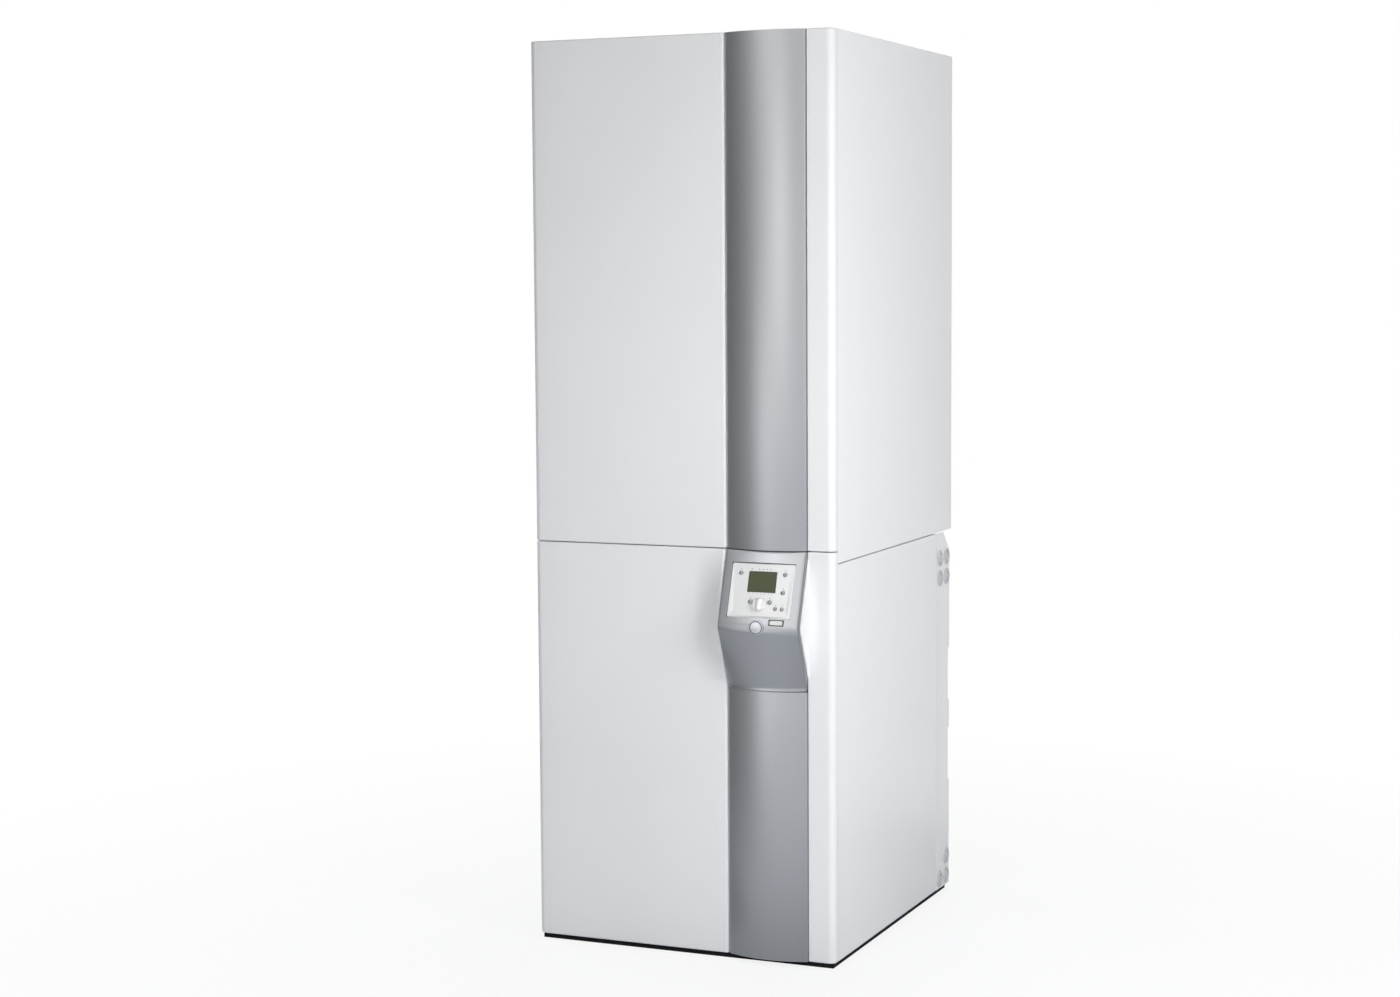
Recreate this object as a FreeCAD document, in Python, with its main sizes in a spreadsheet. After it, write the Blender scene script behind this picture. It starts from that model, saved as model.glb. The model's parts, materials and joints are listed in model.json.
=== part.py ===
import FreeCAD, Part
import math
import operator
import os
from types import SimpleNamespace

import Sketcher

# Floor-standing ground source heat pump with a hot water tank in its upper half.
# Millimetres and degrees. +X is to the right seen from the front, +Y to the back, +Z up.
# The origin lies on the floor, below the middle of the whole object's box.

DRIVING = {
    # Casing
    "case_width": 656,
    "case_depth": 750,
    "case_height": 1850,
    "casing_sheet": 2,
    "edge_fold": 10,
    "front_wrap": 22,
    "corner_radius": 14,
    "side_seam": 809,
    "seam_gap": 3,
    "edge_gap": 0.8,
    "panel_foot": 12,
    "rear_recess": 6,
    "lower_setback": 14,
    "chase_depth": 90,
    # Base and frame
    "foot_height": 3,
    "foot_radius": 22,
    "foot_inset": 45,
    "stud_radius": 5,
    "stud_length": 30,
    "stud_gap": 0.2,
    "nut_radius": 10,
    "nut_height": 5,
    "tray_floor": 3,
    "tray_skirt": 42,
    "tray_wall": 2.5,
    "plinth_inset": 9,
    "plinth_reach": 4,
    "plinth_width": 15,
    "plinth_lift": 1,
    "plinth_gap": 2,
    "post_width": 30,
    "post_sheet": 2.5,
    "deck_sheet": 3,
    "deck_rise": 4,
    # Connection strips and their grommets
    "strip_corner": 43,
    "strip_notch": 9,
    "notch_height": 118,
    "upper_notch_top": 546,
    "lower_notch_top": 366,
    "grommet_radius": 18,
    "grommet_hole": 15,
    "grommet_proud": 3,
    "grommet_dish": 11,
    "grommet_skin": 1.5,
    "grommet_pitch": 44,
    "grommet_edge": 22,
    "grommet_drop": 57,
    "grommet_lift": 22,
    # Screws and cable glands
    "screw_head": 4.5,
    "screw_head_height": 2.5,
    "screw_shank": 2,
    "screw_margin": 15,
    "gland_radius": 13,
    "gland_bore": 6,
    "gland_length": 20,
    "gland_nut": 17,
    "gland_nut_height": 6,
    "gland_inset": 63,
    "gland_drop": 123,
    "gland_pitch": 45,
    # Silver column and the channel it lies in
    "strip_width": 55,
    "column_width": 173,
    "column_rise": 27,
    "column_sink": 8,
    "column_wall": 3,
    "column_gap": 0.5,
    "channel_depth": 18,
    "channel_roll": 5,
    # Console below the seam
    "console_wall": 3,
    "console_rise": 8,
    "console_tilt": 18.8,
    "nose_height": 684,
    "console_top": 150,
    "console_heel": 128,
    "nose_reach": 53,
    "nose_radius": 22,
    "heel_sink": 5,
    "cheek_right": 22,
    "cheek_left": 70,
    # Control fascia, measured from its lower left corner
    "fascia_width": 134,
    "fascia_height": 110,
    "fascia_depth": 10,
    "fascia_face": 3,
    "fascia_rim": 2.5,
    "fascia_rise": 4,
    "fascia_gap": 0.5,
    "nose_margin": 21,
    "display_across": 67.9,
    "display_up": 72.5,
    "display_width": 60,
    "display_height": 41.5,
    "display_sheet": 2,
    "display_sink": 1.2,
    "display_gap": 0.2,
    "boss_radius": 3,
    "boss_margin": 12,
    "board_margin": 6,
    "board_sheet": 1.6,
    "board_drop": 5,
    # Knob, keys and switch
    "knob_across": 67.8,
    "knob_up": 26.6,
    "knob_radius": 13,
    "knob_skirt": 4,
    "knob_ridge": 7,
    "knob_ridge_height": 7,
    "knob_lift": 0.6,
    "knob_shaft": 3,
    "encoder_radius": 6,
    "shaft_gap": 0.05,
    "key_proud": 1.6,
    "key_room": 1.5,
    "key_gap": 0.2,
    "switch_across": 107.5,
    "switch_drop": 8.5,
    "switch_width": 35,
    "switch_height": 13,
    "switch_depth": 13,
    "switch_proud": 1.2,
    "switch_rim": 3.6,
    "rocker_gap": 0.5,
    "rocker_depth": 7,
    "rocker_tilt": 8,
    "rocker_pin": 1.2,
    "rocker_pin_bite": 2,
    "badge_across": 67.5,
    "badge_up": 4,
    "badge_radius": 15,
    "badge_depth": 9,
    "badge_proud": 1.5,
    "badge_gap": 0.2,
    # Refrigerant circuit
    "compressor_across": -165,
    "compressor_back": 170,
    "compressor_radius": 82,
    "compressor_height": 400,
    "compressor_dome": 42,
    "compressor_plate": 4,
    "plate_side": 180,
    "mount_radius": 16,
    "mount_height": 20,
    "mount_inset": 20,
    "terminal_side": 60,
    "exchanger_width": 115,
    "exchanger_depth": 90,
    "evaporator_across": -200,
    "evaporator_height": 500,
    "condenser_across": -40,
    "condenser_height": 430,
    "port_run": 35,
    "exchanger_port": 17,
    "port_length": 20,
    "port_side": 30,
    "port_end": 40,
    "stand_height": 24,
    "stand_step": 50,
    "stand_sheet": 4,
    "discharge_radius": 7,
    "suction_radius": 10,
    "liquid_radius": 6,
    "refrigerant_wall": 1,
    "refrigerant_bend": 22,
    "discharge_loop": 90,
    "suction_drop": 85,
    "liquid_setback": 55,
    "drier_radius": 22,
    "drier_length": 62,
    "drier_gap": 3,
    "valve_radius": 15,
    "valve_length": 34,
    "valve_head": 40,
    # Water and brine circuits
    "water_pipe": 14,
    "water_wall": 1.2,
    "water_bend": 25,
    "pump_height": 250,
    "pump_radius": 54,
    "pump_depth": 48,
    "pump_port": 65,
    "pump_inset": 73,
    "pump_pitch": 125,
    "motor_radius": 48,
    "motor_length": 85,
    "impeller_radius": 44,
    "impeller_width": 16,
    "impeller_room": 4,
    "rotor_radius": 24,
    "rotor_length": 60,
    "rotor_room": 2,
    "pump_shaft": 5,
    "bearing_length": 10,
    "bearing_play": 0.3,
    "vane_sheet": 3,
    "vane_count": 6,
    "impeller_plate": 4,
    "return_height": 420,
    "flow_height": 665,
    "heater_radius": 36,
    "heater_riser": 50,
    "heater_gap": 16,
    "heater_cap": 40,
    "valve_side": 54,
    "actuator_height": 50,
    "stub_radius": 16.6,
    "stub_bore": 12,
    "stub_length": 25,
    "stub_collar": 24,
    "collar_height": 6,
    "stub_gap": 0.3,
    # Tank and its insulation
    "tank_lift": 84,
    "tank_dome": 60,
    "tank_wall": 3,
    "jacket_gap": 32,
    "jacket_lift": 20,
    "jacket_drop": 80,
    "stand_inset": 45,
    "foam_side_room": 18,
    "foam_front_room": 60,
    "foam_head_room": 83,
    "foam_thickness": 43,
    "foam_cap": 20,
    "foam_cap_gap": 5,
    "foam_gap": 0.5,
    "tap_radius": 11,
    "tap_port_across": 100,
    "tap_port_rise": 10,
    "tap_run_across": 190,
    "tap_run_rise": 30,
    "tap_back": 34,
    "tap_short": 6,
    "tap_drop": 48,
    "anode_radius": 12,
    "anode_length": 500,
    "anode_head": 20,
    "anode_head_height": 12,
    "anode_boss": 20,
    # Control box
    "box_ear": 27,
    "box_width": 310,
    "box_depth": 110,
    "box_height": 530,
    "box_head_room": 33,
    "box_sheet": 2,
    "rail_height": 8,
    "rail_width": 35,
    "gear_depth": 60,
    "gear_height": 70,
    "gear_width": 45,
    "gear_gap": 5,
    "gear_rows": 2,
    "gear_columns": 5,
    "gear_low": 120,
    "row_pitch": 220,
}

# Keys of the fascia: how far they lie from its left edge and its lower edge, and their radius.
KEYS = {
    "button_hot_water": {"across": 21.1, "up": 89.5, "radius": 4},
    "button_mode": {"across": 114.4, "up": 89, "radius": 4},
    "button_info": {"across": 113.8, "up": 52.5, "radius": 4},
    "button_back": {"across": 47.7, "up": 32.1, "radius": 4.5},
    "button_enter": {"across": 88.2, "up": 32.3, "radius": 4.5},
    "button_manual": {"across": 101.4, "up": 19.8, "radius": 3.5},
    "button_test": {"across": 114.8, "up": 19.8, "radius": 3.5},
}

doc = FreeCAD.newDocument("heat_pump")
sheet = doc.addObject("Spreadsheet::Sheet", "Sizes")
NODES = []

SIGNS = {"+": operator.add, "-": operator.sub, "*": operator.mul, "/": operator.truediv}
FUNCTIONS = {
    "sqrt": math.sqrt,
    "sin": lambda angle: math.sin(math.radians(angle)),
    "cos": lambda angle: math.cos(math.radians(angle)),
    "tan": lambda angle: math.tan(math.radians(angle)),
    "asin": lambda ratio: math.degrees(math.asin(ratio)),
}


class Size:
    """A number of the model: its value now, and the spreadsheet formula that gives it."""

    def __init__(self, value, formula=None):
        self.value = float(value)
        self.formula = formula or repr(self.value)

    def __add__(self, other):
        return combined(self, "+", other)

    def __radd__(self, other):
        return combined(other, "+", self)

    def __sub__(self, other):
        return combined(self, "-", other)

    def __rsub__(self, other):
        return combined(other, "-", self)

    def __mul__(self, other):
        return combined(self, "*", other)

    def __rmul__(self, other):
        return combined(other, "*", self)

    def __truediv__(self, other):
        return combined(self, "/", other)

    def __neg__(self):
        return combined(0, "-", self)


def as_size(number):
    return number if isinstance(number, Size) else Size(number)


def combined(left, sign, right):
    left = as_size(left)
    right = as_size(right)
    return Size(SIGNS[sign](left.value, right.value), f"({left.formula} {sign} {right.formula})")


def applied(name, argument):
    """A function of a size, such as its square root. Angles are in degrees."""
    argument = as_size(argument)
    return Size(FUNCTIONS[name](argument.value), f"{name}({argument.formula})")


def least(first, second):
    return Size(min(first.value, second.value), f"min({first.formula}; {second.formula})")


def fill_sheet():
    """Writes each driving dimension into a row of the sheet and returns them as sizes."""
    rows = dict(DRIVING)
    for key, places in KEYS.items():
        for name, value in places.items():
            rows[f"{key}_{name}"] = value
    sizes = {}
    for row, (alias, value) in enumerate(rows.items(), start=1):
        sheet.set(f"A{row}", alias.replace("_", " "))
        sheet.set(f"B{row}", str(value))
        sheet.setAlias(f"B{row}", alias)
        sizes[alias] = Size(value, f"Sizes.{alias}")
    doc.recompute()
    return SimpleNamespace(**sizes)


def bind(thing, path, amount):
    thing.setExpression(path, as_size(amount).formula)


def place(thing, x, y, z):
    for axis, amount in zip("xyz", (x, y, z)):
        bind(thing, f"Placement.Base.{axis}", amount)


def vector(point):
    return FreeCAD.Vector(*[as_size(amount).value for amount in point])


def node(label, thing):
    """Names a finished sub-part. The name is also its file's name."""
    thing.Label = label
    NODES.append(thing)
    return thing


# Building blocks

TURNS = {
    "X": FreeCAD.Rotation(FreeCAD.Vector(0, 1, 0), 90),
    "Y": FreeCAD.Rotation(FreeCAD.Vector(1, 0, 0), -90),
    "Z": FreeCAD.Rotation(),
}


def block(x, y, z):
    """A rectangular block between two places on each axis."""
    thing = doc.addObject("Part::Box", "block")
    for name, (low, high) in zip(("Length", "Width", "Height"), (x, y, z)):
        bind(thing, name, high - low)
    place(thing, x[0], y[0], z[0])
    return thing


def rod(radius, start, length, axis="Z"):
    """A round bar from its start along one axis."""
    thing = doc.addObject("Part::Cylinder", "rod")
    thing.Placement.Rotation = TURNS[axis]
    bind(thing, "Radius", radius)
    bind(thing, "Height", length)
    place(thing, *start)
    return thing


def hexagon(radius, start, length, axis="Z"):
    """A six-sided bar, such as a nut, from its start along one axis."""
    thing = doc.addObject("Part::Prism", "hexagon")
    thing.Placement.Rotation = TURNS[axis]
    thing.Polygon = 6
    bind(thing, "Circumradius", radius)
    bind(thing, "Height", length)
    place(thing, *start)
    return thing


def ball(radius, x, y, z):
    thing = doc.addObject("Part::Sphere", "ball")
    bind(thing, "Radius", radius)
    place(thing, x, y, z)
    return thing


def fuse(*parts):
    thing = doc.addObject("Part::MultiFuse", "joined")
    thing.Shapes = list(parts)
    return thing


def cut(base, *tools):
    thing = doc.addObject("Part::Cut", "cut")
    thing.Base = base
    thing.Tool = tools[0] if len(tools) == 1 else fuse(*tools)
    return thing


def common(first, second):
    thing = doc.addObject("Part::MultiCommon", "shared")
    thing.Shapes = [first, second]
    return thing


def group(*parts):
    thing = doc.addObject("Part::Compound", "group")
    thing.Links = list(parts)
    return thing


def tube(radius, bore, start, length, axis="Z"):
    return cut(rod(radius, start, length, axis), rod(bore, start, length, axis))


def vessel(radius, rise, low, high, x, y):
    """A round vessel with domed ends. Low and high are where its straight wall ends."""
    barrel = rod(radius, (x, y, low), high - low)
    curve = arc_radius(radius * 2, rise)
    crown = common(rod(radius, (x, y, high), rise), ball(curve, x, y, high + rise - curve))
    foot = common(rod(radius, (x, y, low - rise), rise), ball(curve, x, y, low - rise + curve))
    return fuse(barrel, crown, foot)


def run_of_pipe(radius, wall, bend, points):
    """A tube through the points: straight runs joined by bends of one radius."""
    corners = [vector(point) for point in points]
    edges = []
    last = corners[0]
    for before, here, after in zip(corners, corners[1:], corners[2:]):
        arriving = (here - before).normalize()
        leaving = (after - here).normalize()
        half_turn = arriving.getAngle(leaving) / 2
        setback = bend.value * math.tan(half_turn)
        first = here - arriving * setback
        second = here + leaving * setback
        inward = (leaving - arriving).normalize()
        middle = here + inward * bend.value * (1 / math.cos(half_turn) - 1)
        edges.append(Part.LineSegment(last, first).toShape())
        edges.append(Part.Arc(first, middle, second).toShape())
        last = second
    edges.append(Part.LineSegment(last, corners[-1]).toShape())
    path = Part.Wire(edges)
    start = corners[0]
    heading = corners[1] - corners[0]
    solids = []
    for section in (radius, radius - wall):
        ring = Part.Wire(Part.makeCircle(section.value, start, heading))
        solid = path.makePipeShell([ring], True, False)
        expected = math.pi * section.value ** 2 * path.Length
        if abs(solid.Volume - expected) > 0.01 * expected:
            raise ValueError("a pipe's volume differs from its section times its length")
        solids.append(solid)
    thing = doc.addObject("Part::Feature", "pipe")
    thing.Shape = solids[0].cut(solids[1])
    return thing


# Sketched shapes

def sketch_on(body, plane, height):
    """An empty sketch on one of a body's own planes, moved along the plane's normal."""
    sketch = body.newObject("Sketcher::SketchObject", "outline")
    support = next(item for item in body.Origin.OriginFeatures if item.Role == plane)
    sketch.AttachmentSupport = [(support, "")]
    sketch.MapMode = "FlatFace"
    bind(sketch, "AttachmentOffset.Base.z", height)
    return sketch


def constrain(sketch, kind, amount, *where):
    index = sketch.addConstraint(Sketcher.Constraint(kind, *where, as_size(amount).value))
    bind(sketch, f"Constraints[{index}]", amount)


def draw_polygon(sketch, corners):
    """A closed outline of straight lines whose corners are held at their sizes."""
    places = [FreeCAD.Vector(as_size(x).value, as_size(y).value, 0) for x, y in corners]
    first = sketch.GeometryCount
    count = len(corners)
    for start, end in zip(places, places[1:] + places[:1]):
        sketch.addGeometry(Part.LineSegment(start, end))
    for index in range(count):
        following = first + (index + 1) % count
        sketch.addConstraint(Sketcher.Constraint("Coincident", first + index, 2, following, 1))
    for index, (x, y) in enumerate(corners):
        constrain(sketch, "DistanceX", x, -1, 1, first + index, 1)
        constrain(sketch, "DistanceY", y, -1, 1, first + index, 1)


def draw_circle(sketch, x, y, radius):
    centre = FreeCAD.Vector(as_size(x).value, as_size(y).value, 0)
    index = sketch.addGeometry(Part.Circle(centre, FreeCAD.Vector(0, 0, 1), radius.value))
    constrain(sketch, "DistanceX", x, -1, 1, index, 3)
    constrain(sketch, "DistanceY", y, -1, 1, index, 3)
    constrain(sketch, "Radius", radius, index)


def pad(body, sketch, length):
    feature = body.newObject("PartDesign::Pad", "pad")
    feature.Profile = sketch
    bind(feature, "Length", length)
    return feature


def round_uprights(body, radius, places):
    """Rounds the upright edges of a body that stand at the given places in plan."""
    doc.recompute()
    base = body.Tip
    names = []
    for index, edge in enumerate(base.Shape.Edges, start=1):
        upright = abs(edge.tangentAt(edge.FirstParameter).z) > 0.99
        spots = [(x.value, y.value) for x, y in places]
        centre = edge.CenterOfMass
        if upright and any(math.hypot(centre.x - x, centre.y - y) < 0.01 for x, y in spots):
            names.append(f"Edge{index}")
    rounding = body.newObject("PartDesign::Fillet", "rounding")
    rounding.Base = (base, names)
    bind(rounding, "Radius", radius)


def arc_radius(width, rise):
    """The radius of an arc with this chord and this rise."""
    return (width * width / 4 + rise * rise) / (2 * rise)


def arc_height(width, rise, offset):
    """How far an arc stands above its chord, at an offset from the chord's middle."""
    radius = arc_radius(width, rise)
    return rise - radius + applied("sqrt", radius * radius - offset * offset)


size = fill_sheet()

# Planes that several pieces share

FORWARD = size.nose_reach + size.console_rise + size.badge_proud
FRONT = (FORWARD - size.case_depth) / 2
REAR = (FORWARD + size.case_depth) / 2
SIDE = size.case_width / 2
FRAME_SIDE = SIDE - size.edge_fold
SIDE_START = FRONT + size.front_wrap + size.edge_gap
LOW_REAR = REAR - size.lower_setback
CHASE = LOW_REAR - size.chase_depth
REAR_FACE = REAR - size.rear_recess
FLOOR_TOP = size.foot_height + size.tray_floor
DECK_LOW = size.side_seam + size.deck_rise
DECK_TOP = DECK_LOW + size.deck_sheet
COVER_LOW = size.case_height - size.casing_sheet
FRONT_SEAM = size.nose_height + size.console_top
UPPER_LOW = FRONT_SEAM + size.seam_gap / 2
LOWER_HIGH = FRONT_SEAM - size.seam_gap / 2
CONSOLE_LOW = size.nose_height - size.console_heel
CHANNEL_RIGHT = SIDE - size.strip_width
CHANNEL_LEFT = CHANNEL_RIGHT - size.column_width
CHANNEL_BACK = FRONT + size.channel_depth
COLUMN_ACROSS = (CHANNEL_LEFT + CHANNEL_RIGHT) / 2
INNER_REAR = CHASE - size.casing_sheet
ROOM_FRONT = FRONT + size.front_wrap
ROOM_REAR = REAR_FACE - size.casing_sheet

# The tank with its foam fills the upper half, and the pumps stand below the jacket's rear ports.
TANK_BACK = (ROOM_FRONT + ROOM_REAR) / 2
FOAM_RADIUS = least(FRAME_SIDE - size.foam_side_room, (ROOM_REAR - ROOM_FRONT) / 2 - size.foam_front_room)
FOAM_TOP = COVER_LOW - size.foam_head_room
JACKET_RADIUS = FOAM_RADIUS - size.foam_thickness
TANK_RADIUS = JACKET_RADIUS - size.jacket_gap
PORT_RADIUS = TANK_RADIUS + size.jacket_gap / 2
TANK_LOW = DECK_TOP + size.tank_lift
TANK_HIGH = FOAM_TOP - size.foam_cap - size.foam_cap_gap - size.tank_dome
JACKET_LOW = TANK_LOW + size.jacket_lift
JACKET_HIGH = TANK_HIGH - size.jacket_drop
BRINE_ACROSS = FRAME_SIDE - size.pump_inset
HEATING_ACROSS = BRINE_ACROSS - size.pump_pitch
PIPE_BACK = TANK_BACK + applied("sqrt", PORT_RADIUS * PORT_RADIUS - HEATING_ACROSS * HEATING_ACROSS)
VALVE_ACROSS = size.condenser_across + size.port_side
FLOW_ACROSS = (VALVE_ACROSS + size.valve_side / 2 + HEATING_ACROSS) / 2
TAP_BACK = CHASE + size.tap_back
TAP_PORT_TOP = FOAM_TOP + size.tap_port_rise
TAP_RUN_HEIGHT = TAP_PORT_TOP + size.tap_run_rise
TAP_OUTLET = DECK_LOW - size.tap_drop


# Base and frame

def foot_places():
    reach = FRAME_SIDE - size.foot_inset
    return [(x, y) for x in (-reach, reach)
            for y in (SIDE_START + size.foot_inset, LOW_REAR - size.edge_fold - size.foot_inset)]


def make_base():
    """The black tray under everything with a plinth round its foot, and the four feet screwed into its floor."""
    y = (SIDE_START, LOW_REAR - size.edge_fold)
    high = size.foot_height + size.tray_skirt
    wall = size.tray_wall
    outer = block((-FRAME_SIDE, FRAME_SIDE), y, (size.foot_height, high))
    inner = block((-FRAME_SIDE + wall, FRAME_SIDE - wall), (y[0] + wall, y[1] - wall), (FLOOR_TOP, high))
    holes = [rod(size.stud_radius + size.stud_gap, (x, y, size.foot_height), size.tray_floor)
             for x, y in foot_places()]
    side = FRAME_SIDE + size.plinth_reach
    kept = FRAME_SIDE - size.plinth_width
    rise = (size.plinth_lift, size.panel_foot - size.plinth_gap)
    band = block((-side, side), (FRONT + size.plinth_inset, y[1]), rise)
    hollow = block((-kept, kept), (y[0] + size.plinth_width, y[1] - size.plinth_width), rise)
    node("base_tray", cut(fuse(outer, cut(band, hollow)), inner, *holes))
    feet = []
    for x, y in foot_places():
        stud = rod(size.stud_radius, (x, y, 0), size.stud_length)
        pad_disc = rod(size.foot_radius, (x, y, 0), size.foot_height)
        nut = hexagon(size.nut_radius, (x, y, FLOOR_TOP), size.nut_height)
        feet.append(fuse(stud, pad_disc, nut))
    node("levelling_feet", group(*feet))


def angle_post(x, x_inward, y, y_inward, low, high):
    """An upright of folded sheet whose outer corner stands at x, y."""
    width = size.post_width

    def span(corner, inward, length):
        return (corner, corner + length) if inward > 0 else (corner - length, corner)

    along_x = block(span(x, x_inward, width), span(y, y_inward, size.post_sheet), (low, high))
    along_y = block(span(x, x_inward, size.post_sheet), span(y, y_inward, width), (low, high))
    return fuse(along_x, along_y)


def make_posts():
    posts = []
    for x, inward in ((-FRAME_SIDE, 1), (FRAME_SIDE, -1)):
        inset = x + inward * size.tray_wall
        posts.append(angle_post(inset, inward, SIDE_START + size.tray_wall, 1, FLOOR_TOP, DECK_LOW))
        posts.append(angle_post(inset, inward, INNER_REAR, -1, FLOOR_TOP, DECK_LOW))
        posts.append(angle_post(x, inward, SIDE_START, 1, DECK_TOP, COVER_LOW))
        posts.append(angle_post(x, inward, REAR_FACE - size.casing_sheet, -1, DECK_TOP, COVER_LOW))
    node("frame_posts", group(*posts))


def make_deck():
    """The shelf between the two halves. It carries the tank and roofs the pipe chase."""
    plate = block((-FRAME_SIDE, FRAME_SIDE), (SIDE_START, REAR_FACE), (DECK_LOW, DECK_TOP))
    gap = size.stub_gap
    holes = []
    for x in (-HEATING_ACROSS, HEATING_ACROSS):
        holes.append(rod(size.water_pipe + gap, (x, PIPE_BACK, DECK_LOW), size.deck_sheet))
    for x in (-size.tap_run_across, size.tap_run_across):
        holes.append(rod(size.tap_radius + gap, (x, TAP_BACK, DECK_LOW), size.deck_sheet))
    node("module_deck", cut(plate, *holes))


# Casing

def folded_panel(side, y, z):
    """A side panel: a sheet with its four edges folded inwards to the frame."""
    fold = size.edge_fold
    skin = size.casing_sheet

    def span(near, far):
        return (SIDE - far, SIDE - near) if side > 0 else (-SIDE + near, -SIDE + far)

    outer = block(span(0, fold), y, z)
    inner = block(span(skin, fold), (y[0] + skin, y[1] - skin), (z[0] + skin, z[1] - skin))
    return cut(outer, inner)


def make_sides():
    gap = size.seam_gap / 2
    for word, side in (("right", 1), ("left", -1)):
        upper = folded_panel(side, (SIDE_START, REAR), (size.side_seam + gap, size.case_height))
        node(f"{word}_side_upper", upper)
        lower = folded_panel(side, (SIDE_START, CHASE), (size.panel_foot, size.side_seam - gap))
        node(f"{word}_side_lower", lower)


def make_cover():
    node("top_cover", block((-FRAME_SIDE, FRAME_SIDE), (SIDE_START, REAR), (COVER_LOW, size.case_height)))


def stub_places():
    """Where the four threaded connections come through the lower rear panel."""
    return {
        "brine_in": (BRINE_ACROSS, size.return_height),
        "brine_out": (size.evaporator_across + size.port_side, evaporator_top()),
        "heating_return": (HEATING_ACROSS, size.return_height),
        "heating_flow": (FLOW_ACROSS, size.flow_height),
    }


def gland_places():
    x = -FRAME_SIDE + size.gland_inset
    high = DECK_LOW - size.gland_drop
    return [(x, high), (x, high - size.gland_pitch)]


def lower_screw_places():
    reach = FRAME_SIDE - size.tray_wall - size.screw_margin
    low = size.foot_height + size.tray_skirt + size.screw_margin
    high = DECK_LOW - size.screw_margin
    return [(x, z) for x in (-reach, reach) for z in (low, (low + high) / 2, high)]


def upper_screw_places():
    reach = FRAME_SIDE - size.screw_margin
    low = DECK_TOP + size.screw_margin
    high = COVER_LOW - size.screw_margin
    return [(x, z) for x in (-reach, reach) for z in (low, (low + high) / 2, high)]


def make_rear():
    """The two rear panels, the screws that hold them, the connections and the cable glands."""
    skin = size.casing_sheet
    upper = block((-FRAME_SIDE, FRAME_SIDE), (REAR_FACE - skin, REAR_FACE), (DECK_TOP, COVER_LOW))
    upper_holes = []
    for x, z in upper_screw_places():
        upper_holes.append(rod(size.screw_shank, (x, REAR_FACE - skin, z), skin, "Y"))
    node("rear_panel_upper", cut(upper, *upper_holes))
    inside = FRAME_SIDE - size.tray_wall
    lower = block((-inside, inside), (INNER_REAR, CHASE), (FLOOR_TOP, DECK_LOW))
    lower_holes = []
    for x, z in lower_screw_places():
        lower_holes.append(rod(size.screw_shank, (x, INNER_REAR, z), skin, "Y"))
    for x, z in stub_places().values():
        lower_holes.append(rod(size.stub_radius + size.stub_gap, (x, INNER_REAR, z), skin, "Y"))
    for x, z in gland_places():
        lower_holes.append(rod(size.gland_radius, (x, INNER_REAR, z), skin, "Y"))
    node("rear_panel_lower", cut(lower, *lower_holes))

    screws = []
    for face, places in ((REAR_FACE, upper_screw_places()), (CHASE, lower_screw_places())):
        for x, z in places:
            head = rod(size.screw_head, (x, face, z), size.screw_head_height, "Y")
            screws.append(fuse(head, rod(size.screw_shank, (x, face - skin, z), skin, "Y")))
    node("casing_screws", group(*screws))

    stubs = []
    for x, z in stub_places().values():
        nipple = rod(size.stub_radius, (x, INNER_REAR, z), skin + size.collar_height + size.stub_length, "Y")
        collar = rod(size.stub_collar, (x, CHASE, z), size.collar_height, "Y")
        bore = rod(size.stub_bore, (x, INNER_REAR, z), skin + size.collar_height + size.stub_length, "Y")
        stubs.append(cut(fuse(nipple, collar), bore))
    node("connection_stubs", group(*stubs))

    glands = []
    for x, z in gland_places():
        throat = rod(size.gland_radius, (x, INNER_REAR, z), skin + size.gland_length, "Y")
        nut = hexagon(size.gland_nut, (x, CHASE, z), size.gland_nut_height, "Y")
        bore = rod(size.gland_bore, (x, INNER_REAR, z), skin + size.gland_length, "Y")
        glands.append(cut(fuse(throat, nut), bore))
    node("cable_glands", group(*glands))


def grommet_places():
    """Grommets of one strip: two pairs near its top, and three near its foot."""
    near = CHASE + size.grommet_edge
    far = LOW_REAR - size.grommet_edge
    top = size.side_seam - size.grommet_drop
    low = size.panel_foot + size.grommet_lift
    next_low = low + size.grommet_pitch
    pairs = [(near, top), (far, top), (near, top - size.grommet_pitch), (far, top - size.grommet_pitch)]
    return pairs + [(near, low), (far, low), (far, next_low)]


def connection_strip(side):
    """The narrow plate beside the pipe chase, with its cut corner, notches and grommet holes."""
    body = doc.addObject("PartDesign::Body", "strip")
    skin = size.casing_sheet
    front = CHASE + size.edge_gap
    low = size.panel_foot
    high = size.side_seam - size.seam_gap / 2
    notch = LOW_REAR - size.strip_notch
    corners = [(front, low), (LOW_REAR, low)]
    for top in (size.lower_notch_top, size.upper_notch_top):
        bottom = top - size.notch_height
        corners += [(LOW_REAR, bottom), (notch, bottom), (notch, top), (LOW_REAR, top)]
    corners += [(LOW_REAR, high - size.strip_corner), (LOW_REAR - size.strip_corner, high), (front, high)]
    outline = sketch_on(body, "YZ_Plane", SIDE - skin if side > 0 else -SIDE)
    draw_polygon(outline, corners)
    for y, z in grommet_places():
        draw_circle(outline, y, z, size.grommet_hole)
    pad(body, outline, skin)
    x = (FRAME_SIDE, SIDE - skin) if side > 0 else (-SIDE + skin, -FRAME_SIDE)
    front_fold = block(x, (front, front + skin), (low, high))
    foot_fold = block(x, (front, LOW_REAR), (low, low + skin))
    return fuse(body, front_fold, foot_fold)


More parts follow.
